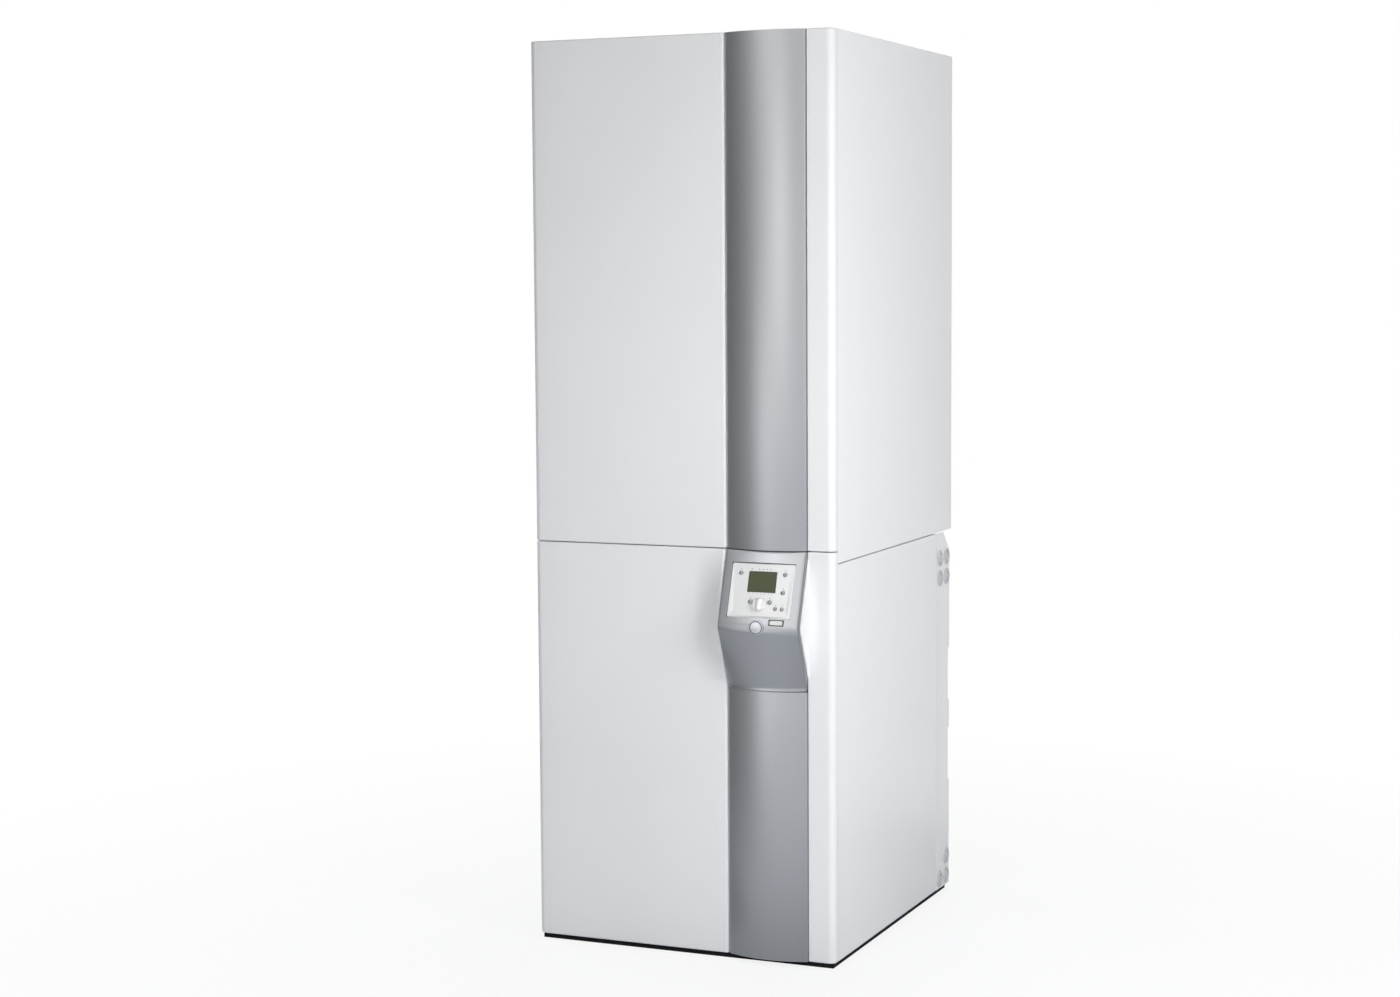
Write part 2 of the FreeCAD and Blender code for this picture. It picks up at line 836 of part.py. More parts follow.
def grommet(side, y, z):
    """A dished rubber plug in a hole of the strip."""
    outside = SIDE if side > 0 else -SIDE - size.grommet_proud
    seat = SIDE - size.casing_sheet if side > 0 else -SIDE
    depth = size.grommet_proud - size.grommet_skin
    mouth = SIDE + size.grommet_skin if side > 0 else -SIDE - size.grommet_proud
    flange = rod(size.grommet_radius, (outside, y, z), size.grommet_proud, "X")
    plug = rod(size.grommet_hole, (seat, y, z), size.casing_sheet, "X")
    return cut(fuse(flange, plug), rod(size.grommet_dish, (mouth, y, z), depth, "X"))


def make_strips():
    grommets = []
    for word, side in (("right", 1), ("left", -1)):
        node(f"{word}_connection_strip", connection_strip(side))
        grommets += [grommet(side, y, z) for y, z in grommet_places()]
    node("side_grommets", group(*grommets))


# Front

def front_sheet(low, high):
    """A front panel: a sheet folded round both corners and into the column's channel."""
    body = doc.addObject("PartDesign::Body", "front")
    skin = size.casing_sheet
    back = FRONT + size.front_wrap
    inside = FRONT + skin
    web = CHANNEL_BACK + skin
    face = [(-SIDE, back), (-SIDE, FRONT), (CHANNEL_LEFT, FRONT), (CHANNEL_LEFT, CHANNEL_BACK),
            (CHANNEL_RIGHT, CHANNEL_BACK), (CHANNEL_RIGHT, FRONT), (SIDE, FRONT), (SIDE, back)]
    hidden = [(SIDE - skin, back), (SIDE - skin, inside), (CHANNEL_RIGHT + skin, inside),
              (CHANNEL_RIGHT + skin, web), (CHANNEL_LEFT - skin, web), (CHANNEL_LEFT - skin, inside),
              (-SIDE + skin, inside), (-SIDE + skin, back)]
    walls = sketch_on(body, "XY_Plane", low)
    draw_polygon(walls, face + hidden)
    pad(body, walls, high - low)
    for height in (low, high - skin):
        lid = sketch_on(body, "XY_Plane", height)
        draw_polygon(lid, hidden)
        pad(body, lid, skin)
    round_uprights(body, size.corner_radius - skin, [hidden[1], hidden[6]])
    round_uprights(body, size.corner_radius, [face[1], face[6]])
    round_uprights(body, size.channel_roll - skin, [hidden[2], hidden[5]])
    round_uprights(body, size.channel_roll, [face[2], face[5]])
    return body


def column(low, high):
    """A bowed cover strip: an arc in plan, hollow at the back and closed at both ends."""
    left = CHANNEL_LEFT + size.column_gap
    right = CHANNEL_RIGHT - size.column_gap
    wall = size.column_wall
    crest = FRONT + size.column_sink - size.column_rise
    radius = arc_radius(right - left, size.column_rise)
    centre = (COLUMN_ACROSS, crest + radius, low)
    outer = common(block((left, right), (crest, CHANNEL_BACK), (low, high)), rod(radius, centre, high - low))
    hollow = common(block((left + wall, right - wall), (crest, CHANNEL_BACK), (low + wall, high - wall)),
                    rod(radius - wall, centre, high - low))
    return cut(outer, hollow)


def cheek(edge, outer_edge, depth):
    """The raised white facet beside the console, from the console's edge down to the flat panel."""
    base = FRONT + depth
    high = vector((edge, base, LOWER_HIGH))
    low = vector((edge, base, CONSOLE_LOW))
    peak = vector((edge, FRONT - size.nose_reach, size.nose_height))
    flank = vector((outer_edge, base, size.nose_height))
    corners = [(high, low, peak), (high, peak, flank), (low, flank, peak), (high, flank, low)]
    faces = [Part.Face(Part.makePolygon([*three, three[0]])) for three in corners]
    solid = Part.Solid(Part.Shell(faces))
    thing = doc.addObject("Part::Feature", "cheek")
    thing.Shape = solid if solid.Volume > 0 else solid.reversed()
    return thing


def console_section(body, height, reach, rise, inset):
    """One level of the console: a bowed front edge, straight sides and an open back."""
    left = CHANNEL_LEFT + size.column_gap + inset
    right = CHANNEL_RIGHT - size.column_gap - inset
    front = FRONT - reach + inset
    radius = arc_radius(right - left, rise)
    sketch = sketch_on(body, "XY_Plane", height)
    start = FreeCAD.Vector(left.value, front.value, 0)
    crest = FreeCAD.Vector(COLUMN_ACROSS.value, (front - rise).value, 0)
    end = FreeCAD.Vector(right.value, front.value, 0)
    sketch.addGeometry(Part.Arc(start, crest, end))
    corners = [end, FreeCAD.Vector(right.value, CHANNEL_BACK.value, 0),
               FreeCAD.Vector(left.value, CHANNEL_BACK.value, 0), start]
    for first, second in zip(corners, corners[1:]):
        sketch.addGeometry(Part.LineSegment(first, second))
    for first, second in ((0, 1), (1, 2), (2, 3), (3, 0)):
        sketch.addConstraint(Sketcher.Constraint("Coincident", first, 2, second, 1))
    for index, (x, y) in ((1, (right, front)), (2, (right, CHANNEL_BACK)), (3, (left, CHANNEL_BACK))):
        constrain(sketch, "DistanceX", x, -1, 1, index, 1)
        constrain(sketch, "DistanceY", y, -1, 1, index, 1)
    constrain(sketch, "DistanceX", left, -1, 1, 3, 2)
    constrain(sketch, "DistanceY", front, -1, 1, 3, 2)
    constrain(sketch, "Radius", radius, 0)
    return sketch


def console_levels(inset):
    """Height, reach in front of the panel and bow of the console at its top, nose and heel."""
    top = LOWER_HIGH - inset
    fall = applied("tan", size.console_tilt)
    return [
        (top, size.nose_reach - (top - size.nose_height) * fall, size.console_rise),
        (size.nose_height, size.nose_reach, size.console_rise),
        (CONSOLE_LOW + inset, -size.heel_sink, size.column_rise),
    ]


def loft(body, kind, levels, inset):
    sketches = [console_section(body, *level, inset) for level in levels]
    feature = body.newObject(kind, "skin")
    feature.Profile = sketches[0]
    feature.Sections = sketches[1:]
    feature.Ruled = True
    return feature


def round_nose(body):
    """Rounds the bowed edge where the console's two front faces meet."""
    doc.recompute()
    base = body.Tip
    names = []
    for index, edge in enumerate(base.Shape.Edges, start=1):
        middle = edge.CenterOfMass
        level = abs(middle.z - size.nose_height.value) < 0.01
        if level and middle.y < (FRONT - size.nose_reach).value:
            names.append(f"Edge{index}")
    rounding = body.newObject("PartDesign::Fillet", "rounding")
    rounding.Base = (base, names)
    bind(rounding, "Radius", size.nose_radius)


FASCIA_UP = size.nose_margin + size.fascia_height / 2 * applied("cos", size.console_tilt)
FASCIA_SETBACK = FASCIA_UP * applied("tan", size.console_tilt)
FASCIA_LIFT = arc_height(size.column_width, size.console_rise, size.fascia_width / 2)
FASCIA_FORWARD = size.nose_reach - FASCIA_SETBACK + FASCIA_LIFT
FASCIA_ORIGIN = (COLUMN_ACROSS, FRONT - FASCIA_FORWARD, size.nose_height + FASCIA_UP)


def on_slope(drawn):
    """Moves a piece drawn flat, with its face up, onto the console's slope."""
    thing = group(drawn)
    thing.Placement.Rotation = FreeCAD.Rotation(FreeCAD.Vector(1, 0, 0), 90 - size.console_tilt.value)
    bind(thing, "Placement.Rotation.Angle", 90 - size.console_tilt)
    place(thing, *FASCIA_ORIGIN)
    return thing


def across(place_across):
    return place_across - size.fascia_width / 2


def up(place_up):
    return place_up - size.fascia_height / 2


def face_height(place_across):
    return arc_height(size.fascia_width, size.fascia_rise, across(place_across))


BOARD_TOP = -size.fascia_depth - size.board_drop
SWITCH_OFFSET = across(size.switch_across)
SWITCH_UP = -size.fascia_height / 2 - size.switch_drop
SWITCH_YAW = applied("asin", SWITCH_OFFSET / arc_radius(size.column_width, size.console_rise))
SWITCH_LIFT = arc_height(size.column_width, size.console_rise, SWITCH_OFFSET) - FASCIA_LIFT


def on_nose(drawn, depth=0, turn=0):
    """Moves a piece drawn flat, with its face up, to the switch's place, square to the bowed face.

    Depth is how far it lies behind that face, and turn is how far it is then tilted sideways.
    """
    slope = FreeCAD.Rotation(FreeCAD.Vector(1, 0, 0), 90 - size.console_tilt.value)
    yaw = FreeCAD.Rotation(FreeCAD.Vector(0, 1, 0), SWITCH_YAW.value)
    tilt = FreeCAD.Rotation(FreeCAD.Vector(0, 1, 0), as_size(turn).value)
    spot = FreeCAD.Vector(SWITCH_OFFSET.value, SWITCH_UP.value, SWITCH_LIFT.value)
    spot += yaw.multVec(FreeCAD.Vector(0, 0, -as_size(depth).value))
    thing = group(drawn)
    thing.Placement = FreeCAD.Placement(vector(FASCIA_ORIGIN) + slope.multVec(spot), slope * yaw * tilt)
    return thing


def badge_start():
    crest = FRONT - size.nose_reach - size.console_rise
    x = COLUMN_ACROSS + across(size.badge_across)
    return x, crest + size.badge_depth, size.nose_height + size.badge_up


def make_console():
    body = doc.addObject("PartDesign::Body", "console")
    loft(body, "PartDesign::AdditiveLoft", console_levels(Size(0)), Size(0))
    round_nose(body)
    loft(body, "PartDesign::SubtractiveLoft", console_levels(size.console_wall), size.console_wall)
    gap = size.fascia_gap
    half_width = size.fascia_width / 2 + gap
    half_height = size.fascia_height / 2 + gap
    # The cutters reach well past the bowed face.
    reach = size.console_rise * 2
    floor = -size.fascia_depth - gap
    window = on_slope(block((-half_width, half_width), (-half_height, half_height), (floor, reach)))
    slot_width = size.switch_width / 2 - size.switch_rim / 2
    slot_height = size.switch_height / 2 - size.switch_rim / 2
    floor = -size.switch_depth - gap
    slot = on_nose(block((-slot_width, slot_width), (-slot_height, slot_height), (floor, reach)))
    x, y, z = badge_start()
    hole_start = (x, y - size.badge_depth - reach, z)
    badge_hole = rod(size.badge_radius + size.badge_gap, hole_start, size.badge_depth * 2 + reach, "Y")
    node("console_housing", cut(body, window, slot, badge_hole))


def make_front():
    """Both front panels with their columns."""
    node("upper_front_panel", front_sheet(UPPER_LOW, size.case_height))
    node("upper_column", column(UPPER_LOW, size.case_height))
    depth = size.casing_sheet
    right = cheek(CHANNEL_RIGHT, CHANNEL_RIGHT + size.cheek_right, depth)
    left = cheek(CHANNEL_LEFT, CHANNEL_LEFT - size.cheek_left, depth)
    node("lower_front_panel", fuse(front_sheet(size.panel_foot, LOWER_HIGH), right, left))
    node("lower_column", column(size.panel_foot, CONSOLE_LOW - size.edge_gap))


# Control unit, drawn flat in the fascia's own frame

def make_fascia():
    """The white face of the control unit, hollow behind, with its window and holes."""
    half_width = size.fascia_width / 2
    half_height = size.fascia_height / 2
    rim = size.fascia_rim
    v = (-half_height, half_height)
    radius = arc_radius(size.fascia_width, size.fascia_rise)
    slab = block((-half_width, half_width), v, (-size.fascia_depth, size.fascia_rise))
    bow = rod(radius, (0, -half_height, size.fascia_rise - radius), size.fascia_height, "Y")
    hollow = block((-half_width + rim, half_width - rim), (-half_height + rim, half_height - rim),
                   (-size.fascia_depth, -size.fascia_face))
    shell = cut(common(slab, bow), hollow)
    bosses = []
    boss_length = -size.fascia_face - BOARD_TOP
    for x in (-half_width + size.boss_margin, half_width - size.boss_margin):
        for y in (-half_height + size.boss_margin, half_height - size.boss_margin):
            bosses.append(rod(size.boss_radius, (x, y, BOARD_TOP), boss_length))
    holes = [display_block(size.display_gap, -size.fascia_face, size.fascia_rise)]
    depth = size.fascia_face + size.fascia_rise
    for key in KEYS:
        x, y, radius = key_place(key)
        holes.append(rod(radius + size.key_gap, (x, y, -size.fascia_face), depth))
    knob = (across(size.knob_across), up(size.knob_up), -size.fascia_face)
    holes.append(rod(size.knob_shaft + size.key_gap, knob, depth))
    node("control_fascia", on_slope(cut(fuse(shell, *bosses), *holes)))


def display_block(gap, low, high):
    x = across(size.display_across)
    y = up(size.display_up)
    half_width = size.display_width / 2 + gap
    half_height = size.display_height / 2 + gap
    return block((x - half_width, x + half_width), (y - half_height, y + half_height), (low, high))


def key_place(key):
    x = across(getattr(size, f"{key}_across"))
    return x, up(getattr(size, f"{key}_up")), getattr(size, f"{key}_radius")


def make_display():
    """The window, and the board behind the fascia with the display, encoder and key contacts on it."""
    top = face_height(size.display_across + size.display_width / 2) - size.display_sink
    node("display_window", on_slope(display_block(Size(0), top - size.display_sheet, top)))
    half_width = size.fascia_width / 2 - size.board_margin
    half_height = size.fascia_height / 2 - size.board_margin
    z = (BOARD_TOP - size.board_sheet, BOARD_TOP)
    board = block((-half_width, half_width), (-half_height, half_height), z)
    panel = display_block(Size(0), BOARD_TOP, top - size.display_sheet)
    x = across(size.knob_across)
    y = up(size.knob_up)
    encoder_top = -size.fascia_face - size.edge_gap
    encoder = rod(size.encoder_radius, (x, y, BOARD_TOP), encoder_top - BOARD_TOP)
    socket = rod(size.knob_shaft + size.shaft_gap, (x, y, BOARD_TOP), encoder_top - BOARD_TOP)
    node("control_board", on_slope(cut(fuse(board, panel, encoder), socket)))


def make_knob():
    x = across(size.knob_across)
    y = up(size.knob_up)
    low = size.fascia_rise + size.knob_lift
    skirt = rod(size.knob_radius, (x, y, low), size.knob_skirt)
    half = size.knob_ridge / 2
    ridge_block = block((x - half, x + half), (y - size.knob_radius, y + size.knob_radius),
                        (low, low + size.knob_skirt + size.knob_ridge_height))
    height = size.knob_skirt + size.knob_ridge_height
    ridge = common(ridge_block, rod(size.knob_radius, (x, y, low), height))
    shaft_low = BOARD_TOP + size.edge_gap
    shaft = rod(size.knob_shaft, (x, y, shaft_low), low - shaft_low)
    node("control_knob", on_slope(fuse(skirt, ridge, shaft)))


def make_keys():
    for key in KEYS:
        x, y, radius = key_place(key)
        top = face_height(getattr(size, f"{key}_across")) + size.key_proud
        low = BOARD_TOP + size.key_room
        node(key, on_slope(rod(radius, (x, y, low), top - low)))


def make_switch():
    """The rocker switch under the fascia. Its rocker rests with its left end pressed in."""
    half_width = size.switch_width / 2
    half_height = size.switch_height / 2
    rim = size.switch_rim
    room_x = half_width - rim
    room_y = half_height - rim
    neck_x = half_width - rim / 2 - size.rocker_gap / 2
    neck_y = half_height - rim / 2 - size.rocker_gap / 2
    flange = block((-half_width, half_width), (-half_height, half_height), (0, size.switch_proud))
    neck = block((-neck_x, neck_x), (-neck_y, neck_y), (-size.switch_depth, 0))
    room = block((-room_x, room_x), (-room_y, room_y), (-size.switch_depth + rim, size.switch_proud))
    pin_length = (room_y + size.rocker_pin_bite - size.rocker_gap) * 2
    pin_start = (0, -pin_length / 2, -size.rocker_depth / 2)
    bearing_length = (room_y + size.rocker_pin_bite) * 2
    bearing_start = (0, -bearing_length / 2, -size.rocker_depth / 2)
    bearing = rod(size.rocker_pin + size.shaft_gap, bearing_start, bearing_length, "Y")
    node("switch_bezel", on_nose(cut(fuse(flange, neck), room, bearing)))
    reach = room_x - size.rocker_gap
    tall = room_y - size.rocker_gap
    half_depth = size.rocker_depth / 2
    paddle = block((-reach, reach), (-tall, tall), (-half_depth, half_depth))
    rounded = common(paddle, rod(reach, (0, -tall, 0), tall * 2, "Y"))
    pin = rod(size.rocker_pin, (0, -pin_length / 2, 0), pin_length, "Y")
    node("power_rocker", on_nose(fuse(rounded, pin), half_depth, -size.rocker_tilt))


def make_badge():
    """A plain round disc on the nose, in a hole of its own."""
    x, y, z = badge_start()
    length = size.badge_depth + size.badge_proud
    node("badge_disc", rod(size.badge_radius, (x, y - length, z), length, "Y"))


# Refrigerant circuit

COMPRESSOR_BACK = FRONT + size.compressor_back
PLATE_LOW = FLOOR_TOP + size.mount_height
SHELL_LOW = PLATE_LOW + size.compressor_plate
SHELL_HIGH = SHELL_LOW + size.compressor_height
EXCHANGER_REAR = PIPE_BACK - size.port_run - size.port_length
EXCHANGER_FRONT = EXCHANGER_REAR - size.exchanger_depth
EVAPORATOR_LOW = FLOOR_TOP + size.stand_height
CONDENSER_LOW = EVAPORATOR_LOW + size.stand_step
SUCTION_HEIGHT = SHELL_HIGH - size.suction_drop


def evaporator_top():
    return EVAPORATOR_LOW + size.evaporator_height - size.port_end


def condenser_top():
    return CONDENSER_LOW + size.condenser_height - size.port_end


HEATER_LOW = condenser_top() + size.heater_riser
HEATER_HIGH = size.flow_height - size.valve_side / 2 - size.heater_gap


def make_compressor():
    """The hermetic compressor on its plate, with its two ports and terminal cover, on rubber mounts."""
    x = size.compressor_across
    y = COMPRESSOR_BACK
    dome_rise = size.compressor_dome
    shell = vessel(size.compressor_radius, dome_rise, SHELL_LOW + dome_rise, SHELL_HIGH - dome_rise, x, y)
    half = size.plate_side / 2
    plate = block((x - half, x + half), (y - half, y + half), (PLATE_LOW, SHELL_LOW + size.compressor_plate))
    terminal = size.terminal_side / 2
    cover = block((x - terminal, x + terminal), (y - size.compressor_radius - terminal, y),
                  (SUCTION_HEIGHT - terminal, SUCTION_HEIGHT + terminal))
    top_port = rod(size.discharge_radius + size.refrigerant_wall, (x, y, SHELL_HIGH - dome_rise),
                   dome_rise + size.port_length)
    side_port = rod(size.suction_radius + size.refrigerant_wall, (x, y, SUCTION_HEIGHT),
                    size.compressor_radius + size.port_length, "Y")
    node("compressor", fuse(shell, plate, cover, top_port, side_port))
    offset = half - size.mount_inset
    mounts = [rod(size.mount_radius, (x + a, y + b, FLOOR_TOP), size.mount_height)
              for a in (-offset, offset) for b in (-offset, offset)]
    node("compressor_mounts", group(*mounts))


def exchanger(x, low, height, gas_radius, liquid_radius):
    """A brazed plate exchanger: water ports at the back, refrigerant ports at the front."""
    half = size.exchanger_width / 2
    pack = block((x - half, x + half), (EXCHANGER_FRONT, EXCHANGER_REAR), (low, low + height))
    ports = []
    bores = []
    for z, radius in ((low + size.port_end, liquid_radius), (low + height - size.port_end, gas_radius)):
        back = (x + size.port_side, EXCHANGER_REAR, z)
        ports.append(rod(size.exchanger_port, back, size.port_length, "Y"))
        bores.append(rod(size.water_pipe - size.water_wall, back, size.port_length, "Y"))
        front = (x - size.port_side, EXCHANGER_FRONT - size.port_length, z)
        ports.append(rod(radius + size.refrigerant_wall, front, size.port_length, "Y"))
        bores.append(rod(radius - size.refrigerant_wall, front, size.port_length, "Y"))
    return cut(fuse(pack, *ports), *bores)


def exchanger_stand(x, high):
    half = size.exchanger_width / 2
    skin = size.stand_sheet
    y = (EXCHANGER_FRONT, EXCHANGER_REAR)
    outer = block((x - half, x + half), y, (FLOOR_TOP, high))
    return cut(outer, block((x - half + skin, x + half - skin), y, (FLOOR_TOP, high - skin)))


def make_exchangers():
    node("evaporator", exchanger(size.evaporator_across, EVAPORATOR_LOW, size.evaporator_height,
                                 size.suction_radius, size.liquid_radius))
    node("condenser", exchanger(size.condenser_across, CONDENSER_LOW, size.condenser_height,
                                size.discharge_radius, size.liquid_radius))
    stands = [exchanger_stand(size.evaporator_across, EVAPORATOR_LOW),
              exchanger_stand(size.condenser_across, CONDENSER_LOW)]
    node("exchanger_stands", group(*stands))


def make_refrigerant_lines():
    wall = size.refrigerant_wall
    bend = size.refrigerant_bend
    x = size.compressor_across
    y = COMPRESSOR_BACK
    port = EXCHANGER_FRONT - size.port_length
    gas_in = size.condenser_across - size.port_side
    gas_out = size.evaporator_across - size.port_side
    start = SHELL_HIGH + size.port_length
    loop = condenser_top() + size.discharge_loop
    discharge = [(x, y, start), (x, y, loop), (gas_in, y, loop), (gas_in, y, condenser_top()),
                 (gas_in, port, condenser_top())]
    node("discharge_line", run_of_pipe(size.discharge_radius, wall, bend, discharge))
    end = y + size.compressor_radius + size.port_length
    turn = (end + port) / 2
    high = evaporator_top()
    suction = [(gas_out, port, high), (gas_out, turn, high), (x, turn, high),
               (x, turn, SUCTION_HEIGHT), (x, end, SUCTION_HEIGHT)]
    node("suction_line", run_of_pipe(size.suction_radius, wall, bend, suction))

    low = CONDENSER_LOW + size.port_end
    evaporator_port = EVAPORATOR_LOW + size.port_end
    line = port - size.liquid_setback
    drier_right = gas_in - bend - size.drier_gap
    drier_left = drier_right - size.drier_length
    valve_left = drier_left - size.valve_length
    node("filter_drier", rod(size.drier_radius, (drier_left, line, low), size.drier_length, "X"))
    middle = (drier_left + valve_left) / 2
    valve_body = rod(size.valve_radius, (valve_left, line, low), size.valve_length, "X")
    node("expansion_valve", fuse(valve_body, rod(size.valve_radius, (middle, line, low), size.valve_head)))
    feed = [(gas_in, port, low), (gas_in, line, low), (drier_right, line, low)]
    injection = [(valve_left, line, low), (gas_out, line, low),
                 (gas_out, line, evaporator_port), (gas_out, port, evaporator_port)]
    lines = [run_of_pipe(size.liquid_radius, wall, bend, points) for points in (feed, injection)]
    node("liquid_lines", group(*lines))


# Water and brine circuits

def pump_housing(x):
    """A circulator's volute with ports above and below, and its motor can in front."""
    z = size.pump_height
    volute_front = PIPE_BACK - size.pump_depth / 2
    volute = rod(size.pump_radius, (x, volute_front, z), size.pump_depth, "Y")
    ports = rod(size.exchanger_port, (x, PIPE_BACK, z - size.pump_port), size.pump_port * 2)
    motor = rod(size.motor_radius, (x, volute_front - size.motor_length, z), size.motor_length, "Y")
    bore = rod(size.water_pipe - size.water_wall, (x, PIPE_BACK, z - size.pump_port), size.pump_port * 2)
    half_chamber = size.impeller_width / 2 + size.impeller_room
    chamber_radius = size.impeller_radius + size.impeller_room
    chamber = rod(chamber_radius, (x, PIPE_BACK - half_chamber, z), half_chamber * 2, "Y")
    can_length = size.rotor_length + size.rotor_room * 2
    can = rod(size.rotor_radius + size.rotor_room, (x, volute_front - can_length, z), can_length, "Y")
    far_end = volute_front - can_length - size.bearing_length
    bearing = rod(size.pump_shaft + size.shaft_gap, (x, far_end, z), PIPE_BACK - far_end, "Y")
    return cut(fuse(volute, ports, motor), bore, chamber, can, bearing)


def pump_rotor(x):
    """Impeller, shaft and magnet rotor of a circulator, turning as one piece."""
    z = size.pump_height
    volute_front = PIPE_BACK - size.pump_depth / 2
    can_length = size.rotor_length + size.rotor_room * 2
    shaft_start = volute_front - can_length - size.bearing_length + size.bearing_play
    front = PIPE_BACK - size.impeller_width / 2
    shaft = rod(size.pump_shaft, (x, shaft_start, z), front + size.impeller_width - shaft_start, "Y")
    plate = rod(size.impeller_radius, (x, front, z), size.impeller_plate, "Y")
    magnet_start = volute_front - can_length + size.rotor_room
    magnet = rod(size.rotor_radius, (x, magnet_start, z), size.rotor_length, "Y")
    vanes = []
    half = size.vane_sheet / 2
    count = int(size.vane_count.value)
    for index in range(count):
        vane = group(block((Size(0), size.impeller_radius), (Size(0), size.impeller_width), (-half, half)))
        turn = FreeCAD.Rotation(FreeCAD.Vector(0, 1, 0), 360 * index / count)
        vane.Placement = FreeCAD.Placement(vector((x, front, z)), turn)
        vanes.append(vane)
    return fuse(shaft, plate, magnet, *vanes)


def make_pumps():
    for word, x in (("brine", BRINE_ACROSS), ("heating", HEATING_ACROSS)):
        node(f"{word}_pump_housing", pump_housing(x))
        node(f"{word}_pump_rotor", pump_rotor(x))


def make_brine_pipes():
    pipe = (size.water_pipe, size.water_wall, size.water_bend)
    x = BRINE_ACROSS
    port_x = size.evaporator_across + size.port_side
    port_y = EXCHANGER_REAR + size.port_length
    low = EVAPORATOR_LOW + size.port_end
    supply = run_of_pipe(*pipe, [(x, INNER_REAR, size.return_height), (x, PIPE_BACK, size.return_height),
                                 (x, PIPE_BACK, size.pump_height + size.pump_port)])
    feed = run_of_pipe(*pipe, [(x, PIPE_BACK, size.pump_height - size.pump_port), (x, PIPE_BACK, low),
                               (port_x, PIPE_BACK, low), (port_x, port_y, low)])
    outlet = tube(size.water_pipe, size.water_pipe - size.water_wall, (port_x, port_y, evaporator_top()),
                  INNER_REAR - port_y, "Y")
    node("brine_pipes", group(supply, feed, outlet))


def make_heating_pipes():
    pipe = (size.water_pipe, size.water_wall, size.water_bend)
    bore = size.water_pipe - size.water_wall
    x = HEATING_ACROSS
    port_x = VALVE_ACROSS
    port_y = EXCHANGER_REAR + size.port_length
    pump_top = size.pump_height + size.pump_port
    low = CONDENSER_LOW + size.port_end
    drop = (x, PIPE_BACK, pump_top)
    branch = (x, PIPE_BACK, size.return_height)
    rise = JACKET_LOW - pump_top
    tee = fuse(rod(size.water_pipe, drop, rise), rod(size.water_pipe, branch, INNER_REAR - PIPE_BACK, "Y"))
    back = cut(tee, rod(bore, drop, rise), rod(bore, branch, INNER_REAR - PIPE_BACK, "Y"))
    feed = run_of_pipe(*pipe, [(x, PIPE_BACK, size.pump_height - size.pump_port), (x, PIPE_BACK, low),
                               (port_x, PIPE_BACK, low), (port_x, port_y, low)])
    to_heater = run_of_pipe(*pipe, [(port_x, port_y, condenser_top()), (port_x, PIPE_BACK, condenser_top()),
                                    (port_x, PIPE_BACK, HEATER_LOW)])
    half = size.valve_side / 2
    to_valve = tube(size.water_pipe, bore, (port_x, PIPE_BACK, HEATER_HIGH),
                    size.flow_height - half - HEATER_HIGH)
    high = size.flow_height
    outlet = FLOW_ACROSS
    flow = run_of_pipe(*pipe, [(port_x + half, PIPE_BACK, high), (outlet, PIPE_BACK, high),
                               (outlet, INNER_REAR, high)])
    to_tank = run_of_pipe(*pipe, [(port_x - half, PIPE_BACK, high), (-x, PIPE_BACK, high),
                                  (-x, PIPE_BACK, JACKET_LOW)])
    node("heating_pipes", group(back, feed, to_heater, to_valve, flow, to_tank))


def make_heater_and_valve():
    """The electric booster heater after the condenser, and the valve that sends the flow up or out."""
    x = VALVE_ACROSS
    length = HEATER_HIGH - HEATER_LOW
    wall = size.tank_wall
    bore = size.water_pipe - size.water_wall
    can = rod(size.heater_radius, (x, PIPE_BACK, HEATER_LOW), length)
    middle = (HEATER_LOW + HEATER_HIGH) / 2
    cap_start = PIPE_BACK - size.heater_radius - size.heater_cap
    cap = rod(size.heater_cap / 2, (x, cap_start, middle), size.heater_cap + size.heater_radius / 2, "Y")
    room = rod(size.heater_radius - wall, (x, PIPE_BACK, HEATER_LOW + wall), length - wall * 2)
    through = rod(bore, (x, PIPE_BACK, HEATER_LOW), length)
    node("booster_heater", cut(fuse(can, cap), room, through))
    half = size.valve_side / 2
    z = size.flow_height
    front = PIPE_BACK - half - size.actuator_height
    casting = block((x - half, x + half), (front, PIPE_BACK + half), (z - half, z + half))
    cross = rod(bore, (x - half, PIPE_BACK, z), size.valve_side, "X")
    inlet = rod(bore, (x, PIPE_BACK, z - half), half)
    node("diverter_valve", cut(casting, cross, inlet))


# Tank

def tap_ports():
    return (-size.tap_port_across, size.tap_port_across)


